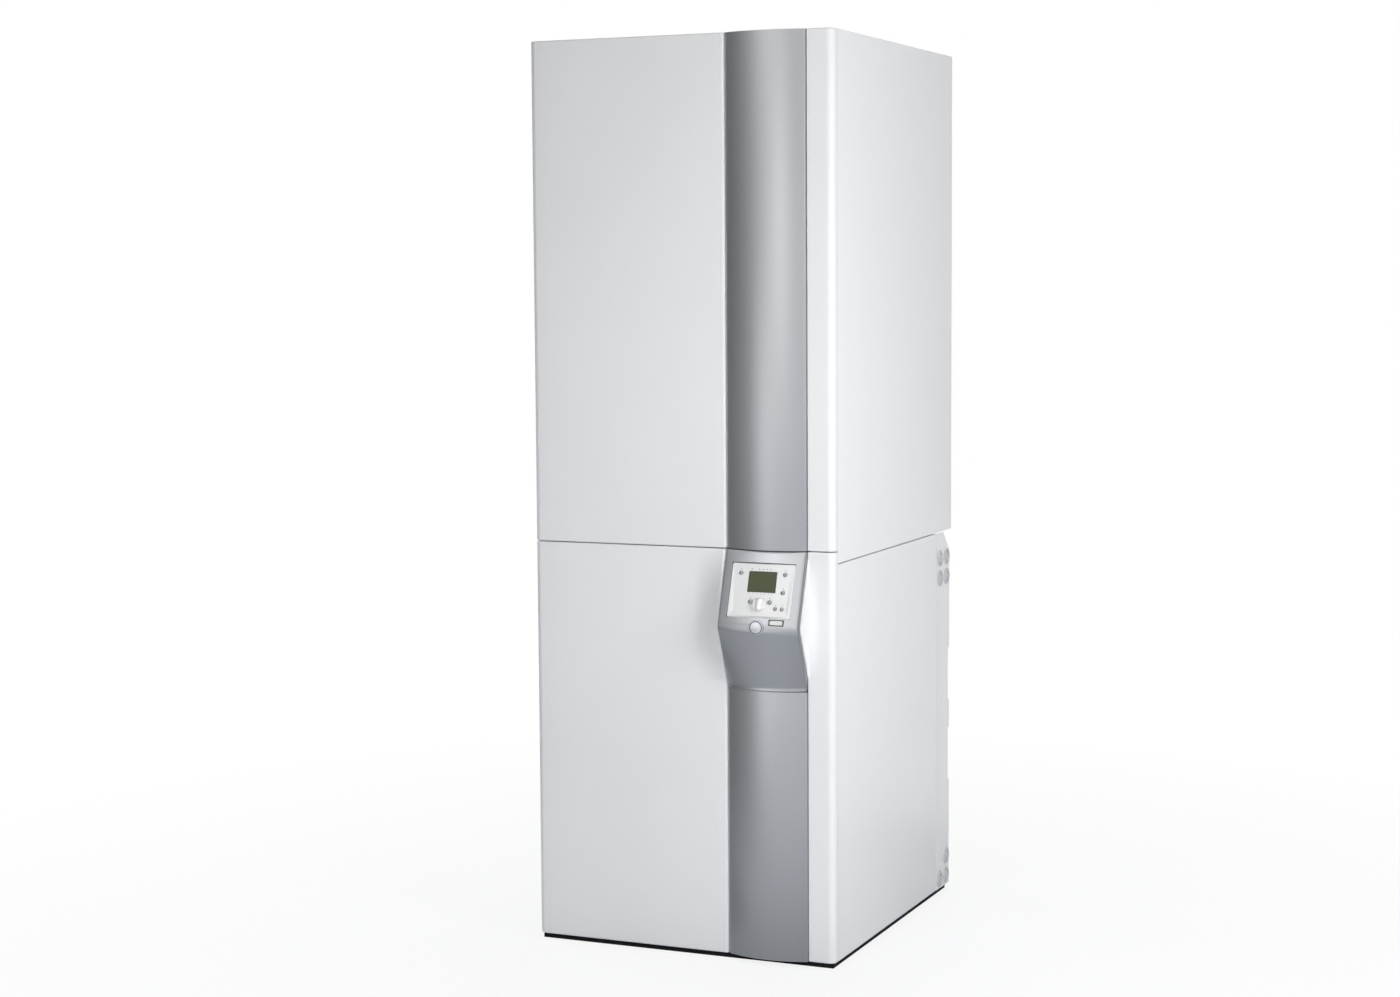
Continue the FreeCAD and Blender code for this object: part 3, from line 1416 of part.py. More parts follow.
def make_tank():
    """The hot water tank in its heating jacket, on a ring that is welded to its foot."""
    y = TANK_BACK
    wall = size.tank_wall
    low = TANK_LOW
    high = TANK_HIGH
    outer = vessel(TANK_RADIUS, size.tank_dome, low, high, 0, y)
    inner = vessel(TANK_RADIUS - wall, size.tank_dome - wall, low, high, 0, y)
    span = JACKET_HIGH - JACKET_LOW
    sleeve = rod(JACKET_RADIUS, (0, y, JACKET_LOW), span)
    water_space = rod(JACKET_RADIUS - wall, (0, y, JACKET_LOW + wall), span - wall * 2)
    jacket = cut(sleeve, water_space, rod(TANK_RADIUS - wall / 2, (0, y, JACKET_LOW), span))
    stand = TANK_RADIUS - size.stand_inset
    ring = tube(stand, stand - wall, (0, y, DECK_TOP), low - DECK_TOP)
    rise = TAP_PORT_TOP - high
    ports = [rod(size.tap_radius, (x, y, high), rise) for x in tap_ports()]
    crown = high + size.tank_dome
    boss = rod(size.anode_boss, (0, y, high), crown + wall - high)
    bores = [rod(size.tap_radius - size.water_wall, (x, y, high), rise) for x in tap_ports()]
    bores.append(rod(size.anode_radius + size.stud_gap, (0, y, high), crown + wall - high))
    for x in (-HEATING_ACROSS, HEATING_ACROSS):
        bores.append(rod(size.water_pipe - size.water_wall, (x, PIPE_BACK, JACKET_LOW), wall))
    node("water_tank", cut(fuse(outer, jacket, ring, boss, *ports), inner, *bores))
    head = hexagon(size.anode_head, (0, y, crown + wall), size.anode_head_height)
    bar = rod(size.anode_radius, (0, y, crown + wall - size.anode_length), size.anode_length)
    node("anode_rod", fuse(head, bar))


def make_insulation():
    """Two half shells of foam round the tank, open below."""
    y = TANK_BACK
    gap = size.foam_gap
    height = FOAM_TOP - DECK_TOP
    shell = rod(FOAM_RADIUS, (0, y, DECK_TOP), height)
    room = rod(JACKET_RADIUS + gap, (0, y, DECK_TOP), height - size.foam_cap)
    holes = [rod(size.tap_radius + gap, (x, y, DECK_TOP), height) for x in tap_ports()]
    holes.append(rod(size.anode_head + gap, (0, y, DECK_TOP), height))
    for x in (-HEATING_ACROSS, HEATING_ACROSS):
        holes.append(rod(size.water_pipe + gap, (x, PIPE_BACK, DECK_TOP), JACKET_LOW - DECK_TOP))
    foam = cut(shell, room, *holes)
    reach = FOAM_RADIUS
    halves = []
    for x in ((-reach, -gap / 2), (gap / 2, reach)):
        halves.append(common(foam, block(x, (y - reach, y + reach), (DECK_TOP, FOAM_TOP))))
    node("tank_insulation", group(*halves))


def make_tap_pipes():
    """Cold and hot tap water pipes, from the tank's crown down to the pipe chase."""
    pipes = []
    for side, port in zip((-1, 1), tap_ports()):
        x = side * size.tap_run_across
        points = [(port, TANK_BACK, TAP_PORT_TOP), (port, TANK_BACK, TAP_RUN_HEIGHT),
                  (x, TAP_BACK, TAP_RUN_HEIGHT), (x, TAP_BACK, TAP_OUTLET),
                  (x, LOW_REAR - size.tap_short, TAP_OUTLET)]
        pipes.append(run_of_pipe(size.tap_radius, size.water_wall, size.water_bend, points))
    node("tap_water_pipes", group(*pipes))


# Control box

def make_control_box():
    """The sheet metal box behind the console, and the switchgear on its rails."""
    skin = size.box_sheet
    front = SIDE_START + size.tray_wall + size.post_sheet
    back = front + size.box_depth
    ear_end = FRAME_SIDE - size.tray_wall - size.post_sheet - size.edge_gap
    right = ear_end - size.box_ear
    left = right - size.box_width
    high = DECK_LOW - size.box_head_room
    low = high - size.box_height
    outer = block((left, right), (front, back), (low, high))
    inside = (left + skin, right - skin)
    inner = block(inside, (front, back - skin), (low + skin, high - skin))
    ear = block((right - skin, ear_end), (front, front + skin), (low, high))
    node("control_box", fuse(cut(outer, inner), ear))
    gear = []
    rail_back = back - skin
    rail_front = rail_back - size.rail_height
    for row in range(int(size.gear_rows.value)):
        middle = low + size.gear_low + size.row_pitch * row
        half_rail = size.rail_width / 2
        half_gear = size.gear_height / 2
        gear.append(block(inside, (rail_front, rail_back), (middle - half_rail, middle + half_rail)))
        for column_index in range(int(size.gear_columns.value)):
            start = left + size.gear_width / 2 + (size.gear_width + size.gear_gap) * column_index
            gear.append(block((start, start + size.gear_width), (rail_front - size.gear_depth, rail_front),
                              (middle - half_gear, middle + half_gear)))
    node("switchgear", group(*gear))


def check(thing):
    """Stops the build where an object failed or a sub-part has no sound shape."""
    if any(word in thing.State for word in ("Invalid", "Error")):
        raise RuntimeError(f"{thing.Label} failed: {thing.State}")
    if thing in NODES and (thing.Shape.isNull() or not thing.Shape.isValid() or not thing.Shape.Solids):
        raise RuntimeError(f"{thing.Label} has no sound shape")


def main():
    make_base()
    make_posts()
    make_deck()
    make_sides()
    make_cover()
    make_rear()
    make_strips()
    make_front()
    make_console()
    make_fascia()
    make_display()
    make_knob()
    make_keys()
    make_switch()
    make_badge()
    make_compressor()
    make_exchangers()
    make_refrigerant_lines()
    make_pumps()
    make_brine_pipes()
    make_heating_pipes()
    make_heater_and_valve()
    make_tank()
    make_insulation()
    make_tap_pipes()
    make_control_box()
    doc.recompute()
    for thing in doc.Objects:
        check(thing)
    os.makedirs("parts", exist_ok=True)
    for thing in NODES:
        thing.Shape.exportStep(f"parts/{thing.Label}.step")


main()
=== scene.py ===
import json
import math

import bmesh
import bpy
import numpy as np
from bpy.props import FloatProperty, FloatVectorProperty, PointerProperty
from mathutils import Matrix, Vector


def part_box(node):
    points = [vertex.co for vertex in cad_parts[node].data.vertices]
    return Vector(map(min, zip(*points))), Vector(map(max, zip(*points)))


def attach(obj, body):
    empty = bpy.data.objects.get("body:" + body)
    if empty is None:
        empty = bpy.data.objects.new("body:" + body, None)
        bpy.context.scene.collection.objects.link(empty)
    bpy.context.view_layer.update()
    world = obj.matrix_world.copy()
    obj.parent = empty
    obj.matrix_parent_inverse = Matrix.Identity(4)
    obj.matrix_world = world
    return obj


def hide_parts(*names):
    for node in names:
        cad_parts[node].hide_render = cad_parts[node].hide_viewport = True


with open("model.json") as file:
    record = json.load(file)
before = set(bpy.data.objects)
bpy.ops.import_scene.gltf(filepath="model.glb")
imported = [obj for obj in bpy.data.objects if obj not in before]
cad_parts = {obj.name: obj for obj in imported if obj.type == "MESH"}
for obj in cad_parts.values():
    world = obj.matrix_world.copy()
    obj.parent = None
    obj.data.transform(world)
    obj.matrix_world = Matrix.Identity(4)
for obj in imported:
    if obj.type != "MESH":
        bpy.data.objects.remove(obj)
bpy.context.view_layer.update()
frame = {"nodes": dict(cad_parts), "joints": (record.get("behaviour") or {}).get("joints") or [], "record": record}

bl_info = {
    "name": "Ground source heat pump",
    "version": (1, 0, 0),
    "blender": (4, 5, 0),
    "location": "View3D > Sidebar > Heat pump",
    "description": "Dresses the packed heat pump with its surfaces, finishes and stage",
    "category": "Object",
}

MM = 0.001
MERGE = 0.01 * MM
CASING, UPPER, LOWER = "casing", "upper_front", "lower_front"
JOINTS = {joint["name"]: joint for joint in frame["joints"]}


def corners(node):
    """A node's lowest and highest corner as arrays."""
    low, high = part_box(node)
    return np.array(low), np.array(high)


UPPER_LOW, UPPER_HIGH = corners("upper_front_panel")
LOWER_LOW, LOWER_HIGH = corners("lower_front_panel")
COLUMN_LOW, COLUMN_HIGH = corners("upper_column")
CONSOLE_LOW, CONSOLE_HIGH = corners("console_housing")
FRONT, BACK, SIDE = UPPER_LOW[1], UPPER_HIGH[1], UPPER_HIGH[0]
COLUMN_ACROSS = (COLUMN_LOW[0] + COLUMN_HIGH[0]) / 2
COLUMN_WIDE = COLUMN_HIGH[0] - COLUMN_LOW[0]
CHANNEL_GAP = 0.5 * MM
CHANNEL_LEFT = COLUMN_LOW[0] - CHANNEL_GAP
CHANNEL_RIGHT = COLUMN_HIGH[0] + CHANNEL_GAP
ROCKER_DEPTH = 3.5 * MM
# How far the lower pieces reach up into the seam between the halves
CONSOLE_RISE, FRONT_RISE, SIDE_RISE = 1.3 * MM, 1.4 * MM, 1.2 * MM
CONSOLE_TOP = CONSOLE_HIGH[2] + CONSOLE_RISE


# Properties that a user would change

def length(name, description, millimetres):
    """A length property, given in millimetres."""
    return FloatProperty(name=name, description=description, default=millimetres * MM,
                         unit="LENGTH", precision=4)


def turn(name, description, degrees):
    """An angle property, given in degrees."""
    return FloatProperty(name=name, description=description, default=math.radians(degrees),
                         subtype="ANGLE")


def number(name, description, default):
    """A plain number property."""
    return FloatProperty(name=name, description=description, default=default)


def colour(name, description, default):
    """A colour property."""
    return FloatVectorProperty(name=name, description=description, default=default,
                               subtype="COLOR", size=3, min=0.0, max=1.0)


class CasingSizes(bpy.types.PropertyGroup):
    """Sizes of the casing's panels"""
    corner: length("Corner radius", "Radius of the front panels' upright corners", 14)
    edge_roll: length("Edge roll", "Radius of the front panels' rolled top and bottom edges", 3)
    sheet: length("Sheet", "Thickness of the painted sheet", 1.5)
    fold_radius: length("Fold radius", "Bend radius where a side panel folds inwards", 2.2)
    left_roll: length("Left roll", "Width of the left panel's roll into the column's channel", 6)
    right_roll: length("Right roll", "Radius of the right strip's roll into the channel", 1)
    roll_depth: length("Roll depth", "How deep the rolls beside the column go", 9)
    cheek_left: length("Left cheek", "Width of the soft cheek left of the console", 72)
    cheek_right: length("Right cheek", "Width of the shallow dish beside the right cheek", 26)
    cheek_wall: length("Cheek wall", "Run of the steep wall right of the console", 3)
    cheek_drop: length("Cheek drop", "How far the right cheek lies behind the console's edge", 6)
    channel: length("Channel", "Depth of the channel that the column lies in", 18)


class ConsoleSizes(bpy.types.PropertyGroup):
    """Sizes of the silver console"""
    nose_height: length("Nose height", "Height of the console's nose above the floor", 684)
    nose_reach: length("Nose reach", "How far the nose's edges stand out of the panel", 53)
    nose_radius: length("Nose radius", "Radius of the rounded nose", 32)
    shoulder: length("Shoulder", "Radius of the soft shoulder above the control unit", 20)
    crown: turn("Crown", "How far the shoulder leans back at the top edge", 27.0)
    heel_sink: length("Heel sink", "How far the heel's edges lie behind the panel", 5)
    bow: length("Bow", "How far the face bows forward in its middle", 8)
    heel_bow: length("Heel bow", "How far the heel bows forward in its middle", 27)
    left_edge: length("Left edge", "Radius of the console's left edge", 3)
    right_edge: length("Right edge", "Radius of the console's right edge", 5)
    pocket: length("Pocket", "Depth of the pocket that holds the control unit", 18.5)


class ControlSizes(bpy.types.PropertyGroup):
    """Sizes of the control unit"""
    width: length("Width", "Width of the control unit", 134)
    height: length("Height", "Height of the control unit", 110)
    bow: length("Bow", "How far its face bows forward", 4)
    knob_across: length("Knob across", "Knob's place right of the middle", 0.8)
    knob_up: length("Knob up", "Knob's place above the middle", -28.4)
    knob_radius: length("Knob radius", "Radius of the knob's skirt", 13)
    knob_lift: length("Knob lift", "Gap between the face's crest and the knob", 0.6)
    key_proud: length("Key height", "How far the keys' edges stand out of the face", 1.1)
    key_dome: length("Key dome", "How far the keys' tops bulge above their edges", 1.1)
    dish: length("Dish", "How deep the face lies in its frame at the bottom", 2.4)


class Finishes(bpy.types.PropertyGroup):
    """Colours of the main finishes"""
    white: colour("White coat", "Colour of the white powder coat", (0.80, 0.805, 0.81))
    silver: colour("Silver lacquer", "Colour of the silver lacquer", (0.485, 0.50, 0.52))
    plastic: colour("White plastic", "Colour of the control unit", (0.80, 0.80, 0.795))
    keys: colour("Grey keys", "Colour of the keys' grey lacquer", (0.36, 0.37, 0.38))
    display: colour("Display", "Colour of the switched-off display", (0.066, 0.082, 0.036))
    black: colour("Black paint", "Colour of the black base", (0.010, 0.010, 0.011))
    copper: colour("Copper", "Colour of the bare copper pipes", (0.72, 0.36, 0.22))
    floor: colour("Floor", "Colour of the studio floor", (0.75, 0.78, 0.83))


class StageSettings(bpy.types.PropertyGroup):
    """The camera and the lamps"""
    lens: number("Lens", "Focal length of the camera in millimetres", 64.7)
    azimuth: turn("Azimuth", "How far the camera stands round to the right", 23.44)
    pitch: turn("Pitch", "How far the camera looks down", 5.14)
    roll: turn("Roll", "How far the camera leans", -0.37)
    eye: FloatVectorProperty(name="Camera place", description="Where the camera stands",
                             unit="LENGTH", size=3, default=(2.034, -4.93575, 1.383))
    ambient: number("Ambient", "Strength of the soft light from all round", 0.32)
    key: number("Key lamp", "Power of the lamp on the right in watts", 33.0)
    fill: number("Front lamp", "Power of the lamp in front in watts", 11.5)
    left: number("Left lamp", "Power of the lamp on the left in watts", 25.0)
    rear: number("Rear lamp", "Power of the lamp behind in watts", 38.0)


# Surfaces

class Sheet:
    """A grid of points, and what closes it: its rows, its columns, or a flat cap at either end."""

    def __init__(self, points, rows=False, columns=False, caps=(False, False)):
        self.points = np.asarray(points, float)
        self.rows = rows
        self.columns = columns
        self.caps = caps

    def placed(self, seat):
        """The same grid carried from a seat's frame into the world."""
        return Sheet(seat.put(self.points), self.rows, self.columns, self.caps)

    def faces(self):
        """Corner numbers of the faces between neighbouring points, and of the caps."""
        rows, columns = self.points.shape[:2]
        row, column = np.meshgrid(np.arange(rows if self.rows else rows - 1),
                                  np.arange(columns if self.columns else columns - 1),
                                  indexing="ij")
        next_row, next_column = (row + 1) % rows, (column + 1) % columns
        around = [row * columns + column, row * columns + next_column,
                  next_row * columns + next_column, next_row * columns + column]
        found = np.stack(around, axis=-1).reshape(-1, 4).tolist()
        if self.caps[0]:
            found.append(list(range(columns)))
        if self.caps[1]:
            found.append(list(range((rows - 1) * columns, rows * columns)))
        return found


class Seat:
    """A piece's own frame: a place and three directions, given as across, up and out."""

    def __init__(self, origin, across, up, out):
        self.origin = np.asarray(origin, float)
        self.axes = np.array([across, up, out], float)

    def put(self, points):
        """World places of points given in this frame."""
        return self.origin + np.asarray(points) @ self.axes

    def take(self, points):
        """Places in this frame of points given in the world."""
        return (np.asarray(points) - self.origin) @ self.axes.T

    def at(self, across, up, out=0.0):
        """This frame moved to a place that is given in it."""
        return Seat(self.put([across, up, out]), *self.axes)

    def turned(self, angle):
        """This frame turned about its own up direction, so that out leans to the right."""
        across, up, out = self.axes
        return Seat(self.origin, across * math.cos(angle) - out * math.sin(angle), up,
                    out * math.cos(angle) + across * math.sin(angle))


def facing(direction, origin):
    """The seat whose out direction is one of the world's axes."""
    frames = {
        "right": ((0, 1, 0), (0, 0, 1), (1, 0, 0)),
        "left": ((0, -1, 0), (0, 0, 1), (-1, 0, 0)),
        "back": ((-1, 0, 0), (0, 0, 1), (0, 1, 0)),
        "front": ((1, 0, 0), (0, 0, 1), (0, -1, 0)),
        "top": ((1, 0, 0), (0, 1, 0), (0, 0, 1)),
    }
    return Seat(origin, *frames[direction])


FINISH = {}


def add(name, data):
    """Makes an object of a mesh, a lamp or a camera and puts it in the scene."""
    thing = bpy.data.objects.new(name, data)
    bpy.context.scene.collection.objects.link(thing)
    return thing


def make_piece(name, sheets, finish, body, replaced=(), sharp=38.0, wall=0.0, filled=False):
    """Makes one piece from its sheets: merged, facing outwards, smooth up to the sharp angle.

    An open piece gets a wall, or has its open side filled with a flat face.
    """
    points, faces, start = [], [], 0
    for sheet in sheets:
        points.append(sheet.points.reshape(-1, 3))
        faces += [[corner + start for corner in face] for face in sheet.faces()]
        start += len(points[-1])
    mesh = bpy.data.meshes.new(name)
    mesh.from_pydata(np.concatenate(points).tolist(), [], faces)
    work = bmesh.new()
    work.from_mesh(mesh)
    bmesh.ops.remove_doubles(work, verts=work.verts, dist=MERGE)
    bmesh.ops.dissolve_degenerate(work, edges=work.edges, dist=MERGE / 2)
    if filled:
        rims = [edge for edge in work.edges if edge.is_boundary]
        bmesh.ops.holes_fill(work, edges=rims, sides=0)
    bmesh.ops.recalc_face_normals(work, faces=work.faces)
    work.to_mesh(mesh)
    work.free()
    mesh.shade_smooth()
    mesh.set_sharp_from_angle(angle=math.radians(sharp))
    mesh.materials.append(FINISH[finish])
    thing = add(name, mesh)
    if wall:
        thickness = thing.modifiers.new("wall", "SOLIDIFY")
        thickness.thickness = wall
        thickness.offset = -1.0
    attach(thing, body)
    if replaced:
        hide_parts(*replaced)


def bow_radius(width, rise):
    """Radius of an arc over a chord: half the chord squared plus the rise squared, over 2 rises."""
    return (width * width / 4 + rise * rise) / (2 * rise)


def arc_height(width, rise, offset):
    """Height of an arc above its chord, at an offset from its middle.

    It is the rise less the radius, plus the root of the radius squared less the offset squared.
    """
    radius = bow_radius(width, rise)
    return rise - radius + np.sqrt(np.maximum(radius * radius - offset * offset, 0.0))


def pan(levels, steps=6):
    """Round-cornered rectangles stacked along out.

    Each level has a half width, a half height, a corner radius and a depth. A corner's point is
    the corner's centre plus its radius times the cosine and sine of the corner's angle.
    """
    wide, tall, radius, depth = (column[:, None] for column in np.array(levels, float).T)
    quarter = np.linspace(0, math.pi / 2, steps + 1)
    angle = np.concatenate([quarter + side * math.pi / 2 for side in range(4)])
    sign_x = np.repeat([1, -1, -1, 1], steps + 1)
    sign_y = np.repeat([1, 1, -1, -1], steps + 1)
    x = sign_x * (wide - radius) + radius * np.cos(angle)
    y = sign_y * (tall - radius) + radius * np.sin(angle)
    return np.stack([x, y, np.broadcast_to(depth, x.shape)], axis=-1)


def circle(segments):
    """Angles of points evenly round a full turn."""
    return np.linspace(0, 2 * math.pi, segments, endpoint=False)


def rings(radius, height):
    """Rings about out: a row of radii for each ring, one radius per angle, and a height each."""
    angle = circle(radius.shape[1])
    rise = np.broadcast_to(np.reshape(height, (-1, 1)), radius.shape)
    return np.stack([radius * np.cos(angle), radius * np.sin(angle), rise], axis=-1)


def turned_profile(profile, segments):
    """A surface of revolution about out: each profile point is a radius and a height."""
    radius, height = np.array(profile, float).T
    return rings(np.repeat(radius[:, None], segments, axis=1), height)


def stacked(seat, levels, steps=6):
    """A block of stacked rectangles with flat ends, in a seat's frame."""
    return Sheet(pan(levels, steps), columns=True, caps=(True, True)).placed(seat)


def lathed(seat, profile, segments, capped=False):
    """A turned block in a seat's frame. Its foot gets a flat cap if the profile starts off axis."""
    points = turned_profile(profile, segments)
    return Sheet(points, columns=True, caps=(capped, False)).placed(seat)


def hoop(seat, points):
    """A grid in a seat's frame that closes both ways, like a tyre."""
    return Sheet(points, rows=True, columns=True).placed(seat)


def quarter_round(radius, start, end, steps=6):
    """Cosines and sines times a radius, from a start angle to an end angle in degrees."""
    angle = np.radians(np.linspace(start, end, steps + 1))
    return radius * np.cos(angle), radius * np.sin(angle)


def folded_levels(wide, tall, bend, corner, fold, sheet):
    """Levels of a folded panel: a face, round bends, folds to the back, and the same inside."""
    least_corner = 0.5 * MM
    cosine, sine = quarter_round(bend, 0, 90)
    levels = [(wide - bend + s, tall - bend + s, corner, c - bend) for c, s in zip(cosine, sine)]
    inner = (wide - sheet, tall - sheet, max(corner - sheet, least_corner))
    return levels + [(wide, tall, corner, -fold), (*inner, -fold), (*inner, -sheet)]


# Finishes

def put(tree, kind, inputs=None, **settings):
    """Adds a shader node. An input that is given a socket is linked, and any other is set."""
    made = tree.nodes.new("ShaderNode" + kind)
    for key, value in settings.items():
        setattr(made, key, value)
    for key, value in (inputs or {}).items():
        if isinstance(value, bpy.types.NodeSocket):
            tree.links.new(value, made.inputs[key])
        else:
            made.inputs[key].default_value = value
    return made


def reckon(tree, operation, first, second):
    """The result of one operation on two numbers or sockets."""
    return put(tree, "Math", {0: first, 1: second}, operation=operation).outputs[0]


def noise(tree, place, scale, **more):
    """Soft random cloud of a given scale."""
    inputs = {"Vector": place, "Scale": scale}
    inputs.update({name.capitalize(): value for name, value in more.items()})
    return put(tree, "TexNoise", inputs).outputs["Fac"]


def remap(tree, value, start, end, low=0.0, high=1.0):
    """A value carried over evenly, so that start becomes low and end becomes high."""
    inputs = {"Value": value, "From Min": start, "From Max": end, "To Min": low, "To Max": high}
    return put(tree, "MapRange", inputs).outputs["Result"]


def coat_grain(tree, place, tone_scale, fine_scale):
    """Coat grain: a broad cloudy tone and a fine bumpy height, both from noise."""
    broad = noise(tree, place, tone_scale, detail=3.0, roughness=0.55)
    return remap(tree, broad, 0.3, 0.7), noise(tree, place, fine_scale, detail=2.0)


def metal_flake(tree, place, tone_scale, fine_scale):
    """Metal flakes: small cells, each with its own tone, under a soft cloudy tone."""
    cells = put(tree, "TexVoronoi", {"Vector": place, "Scale": fine_scale})
    apart = put(tree, "SeparateColor", {"Color": cells.outputs["Color"]})
    cloud = noise(tree, place, tone_scale, detail=2.0)
    mixed = reckon(tree, "MULTIPLY", apart.outputs["Red"], cloud)
    return reckon(tree, "ADD", mixed, 0.25), apart.outputs["Green"]


def brushed_lines(tree, place, tone_scale, fine_scale):
    """Brushed lines: noise drawn out along one axis, for rolled and brushed metal."""
    drawn = put(tree, "Mapping", {"Vector": place, "Scale": (1.0, 1.0, 0.02)})
    lines = noise(tree, drawn.outputs["Vector"], fine_scale, detail=3.0)
    mixed = reckon(tree, "ADD", lines, noise(tree, place, tone_scale, detail=3.0))
    return remap(tree, mixed, 0.6, 1.4), lines


def pressed_cells(tree, place, tone_scale, fine_scale):
    """Cells: rounded beads pressed together, for foam and cast surfaces."""
    cells = put(tree, "TexVoronoi", {"Vector": place, "Scale": fine_scale})
    rise = reckon(tree, "SUBTRACT", 1.0, cells.outputs["Distance"])
    return reckon(tree, "MULTIPLY", rise, noise(tree, place, tone_scale, detail=3.0)), rise


def make_group(build):
    """A shader group with two scales as inputs. What build gives back is its tone and height."""
    tree = bpy.data.node_groups.new(build.__name__, "ShaderNodeTree")
    sockets = {"INPUT": ("Tone Scale", "Fine Scale"), "OUTPUT": ("Tone", "Height")}
    for way, labels in sockets.items():
        for label in labels:
            tree.interface.new_socket(label, in_out=way, socket_type="NodeSocketFloat")
    start, end = tree.nodes.new("NodeGroupInput"), tree.nodes.new("NodeGroupOutput")
    place = put(tree, "TexCoord").outputs["Object"]
    tone, height = build(tree, place, start.outputs["Tone Scale"], start.outputs["Fine Scale"])
    tree.links.new(tone, end.inputs["Tone"])
    tree.links.new(height, end.inputs["Height"])
    return tree


def new_material(name):
    """Makes an empty material, keeps it under its name and gives back its node tree."""
    material = bpy.data.materials.new(name)
    material.use_nodes = True
    material.node_tree.nodes.clear()
    FINISH[name] = material
    return material.node_tree


def tinted(base, factor):
    """A colour times a factor, kept between 0 and 1, with full cover."""
    return (*[min(max(part * factor, 0.0), 1.0) for part in base], 1.0)


def ramp(tree, tone, base, swing):
    """A colour that runs with a tone from a little darker to a little lighter than its base."""
    made = put(tree, "ValToRGB", {"Fac": tone})
    for element, factor in zip(made.color_ramp.elements, (1 - swing, 1 + swing)):
        element.color = tinted(base, factor)
    return made.outputs["Color"]


def make_finish(name, base, rough, group, scales, mottle, depth,
                swing=0.05, metal=0.0, coat=0.0, level=0.5):
    """One material: a group's tone varies colour and roughness, and its height drives a bump."""
    tree = new_material(name)
    effect = put(tree, "Group", node_tree=group)
    for socket, scale in zip(effect.inputs, scales):
        socket.default_value = scale
    tone = effect.outputs["Tone"]
    bump = put(tree, "Bump", {"Height": effect.outputs["Height"], "Strength": 1.0,
                              "Distance": depth * MM})
    shader = put(tree, "BsdfPrincipled", {
        "Base Color": ramp(tree, tone, base, mottle), "Normal": bump.outputs["Normal"],
        "Roughness": remap(tree, tone, 0.0, 1.0, rough - swing, rough + swing), "Metallic": metal,
        "Coat Weight": coat, "Coat Roughness": 0.1, "Specular IOR Level": level})
    put(tree, "OutputMaterial", {"Surface": shader.outputs["BSDF"]})


def make_pattern_finish(name, dark, light, mortar, scale, rough, tilt):
    """A fine grid of cells with thin lines, for a display's dots and a board's tracks."""
    tree = new_material(name)
    place = put(tree, "TexCoord").outputs["Object"]
    flat = put(tree, "Mapping", {"Vector": place, "Rotation": (tilt, 0.0, 0.0)})
    cells = put(tree, "TexBrick", {
        "Vector": flat.outputs["Vector"], "Color1": (*dark, 1.0), "Color2": (*light, 1.0),
        "Mortar": (*mortar, 1.0), "Scale": scale, "Mortar Size": 0.06,
        "Brick Width": 0.5, "Row Height": 0.5}, offset=0.0)
    cloud, swing = noise(tree, place, 30.0), 0.04
    shader = put(tree, "BsdfPrincipled", {
        "Base Color": cells.outputs["Color"], "Specular IOR Level": 0.2,
        "Roughness": remap(tree, cloud, 0.0, 1.0, rough - swing, rough + swing)})
    put(tree, "OutputMaterial", {"Surface": shader.outputs["BSDF"]})


# For each group: name, colour or the property that holds it, roughness, the group's two scales,
# mottle, bump depth in millimetres, and what else differs from the usual
FINISH_TABLE = {
    coat_grain: (
        ("white_coat", "white", 0.38, (3.0, 900.0), 0.012, 0.012),
        ("white_plastic", "plastic", 0.42, (12.0, 1600.0), 0.012, 0.012, {"level": 0.3}),
        ("grey_plastic", (0.40, 0.41, 0.42), 0.45, (60.0, 1800.0), 0.06, 0.015),
        ("black_plastic", (0.07, 0.07, 0.073), 0.42, (40.0, 1500.0), 0.15, 0.02),
        ("gear_plastic", (0.55, 0.55, 0.53), 0.5, (20.0, 1100.0), 0.05, 0.02),
        ("black_paint", "black", 0.60, (8.0, 600.0), 0.25, 0.04, {"level": 0.1}),
        ("black_enamel", (0.018, 0.018, 0.02), 0.28, (9.0, 300.0), 0.25, 0.05, {"coat": 0.3}),
        ("grommet_rubber", (0.55, 0.56, 0.57), 0.62, (40.0, 900.0), 0.07, 0.03),
        ("black_rubber", (0.02, 0.02, 0.02), 0.75, (30.0, 800.0), 0.25, 0.05),
        ("copper", "copper", 0.30, (22.0, 500.0), 0.14, 0.01, {"swing": 0.1, "metal": 1.0}),
        ("brass", (0.72, 0.54, 0.27), 0.28, (40.0, 900.0), 0.08, 0.008, {"metal": 1.0}),
        ("badge_line", (0.15, 0.16, 0.24), 0.5, (60.0, 900.0), 0.06, 0.003, {"level": 0.2}),
        ("print_grey", (0.10, 0.10, 0.105), 0.5, (300.0, 2500.0), 0.1, 0.002),
    ),
    metal_flake: (
        ("silver_lacquer", "silver", 0.36, (3.0, 1400.0), 0.06, 0.006,
         {"swing": 0.03, "metal": 0.95}),
        ("key_lacquer", "keys", 0.30, (60.0, 2400.0), 0.05, 0.003, {"swing": 0.03, "metal": 0.85}),
        ("badge_face", (0.66, 0.67, 0.69), 0.30, (50.0, 2600.0), 0.08, 0.002,
         {"swing": 0.03, "metal": 0.8, "coat": 0.6}),
    ),
    brushed_lines: (
        ("zinc_plate", (0.56, 0.57, 0.58), 0.40, (14.0, 200.0), 0.08, 0.01,
         {"swing": 0.06, "metal": 1.0}),
        ("stainless", (0.58, 0.575, 0.56), 0.30, (7.0, 320.0), 0.08, 0.008,
         {"swing": 0.06, "metal": 1.0}),
    ),
    pressed_cells: (
        ("cast_iron", (0.07, 0.072, 0.078), 0.58, (20.0, 700.0), 0.2, 0.08),
        ("foam", (0.34, 0.35, 0.36), 0.85, (9.0, 240.0), 0.14, 0.5),
        ("light_alloy", (0.55, 0.55, 0.55), 0.45, (20.0, 600.0), 0.1, 0.03, {"metal": 1.0}),
    ),
}


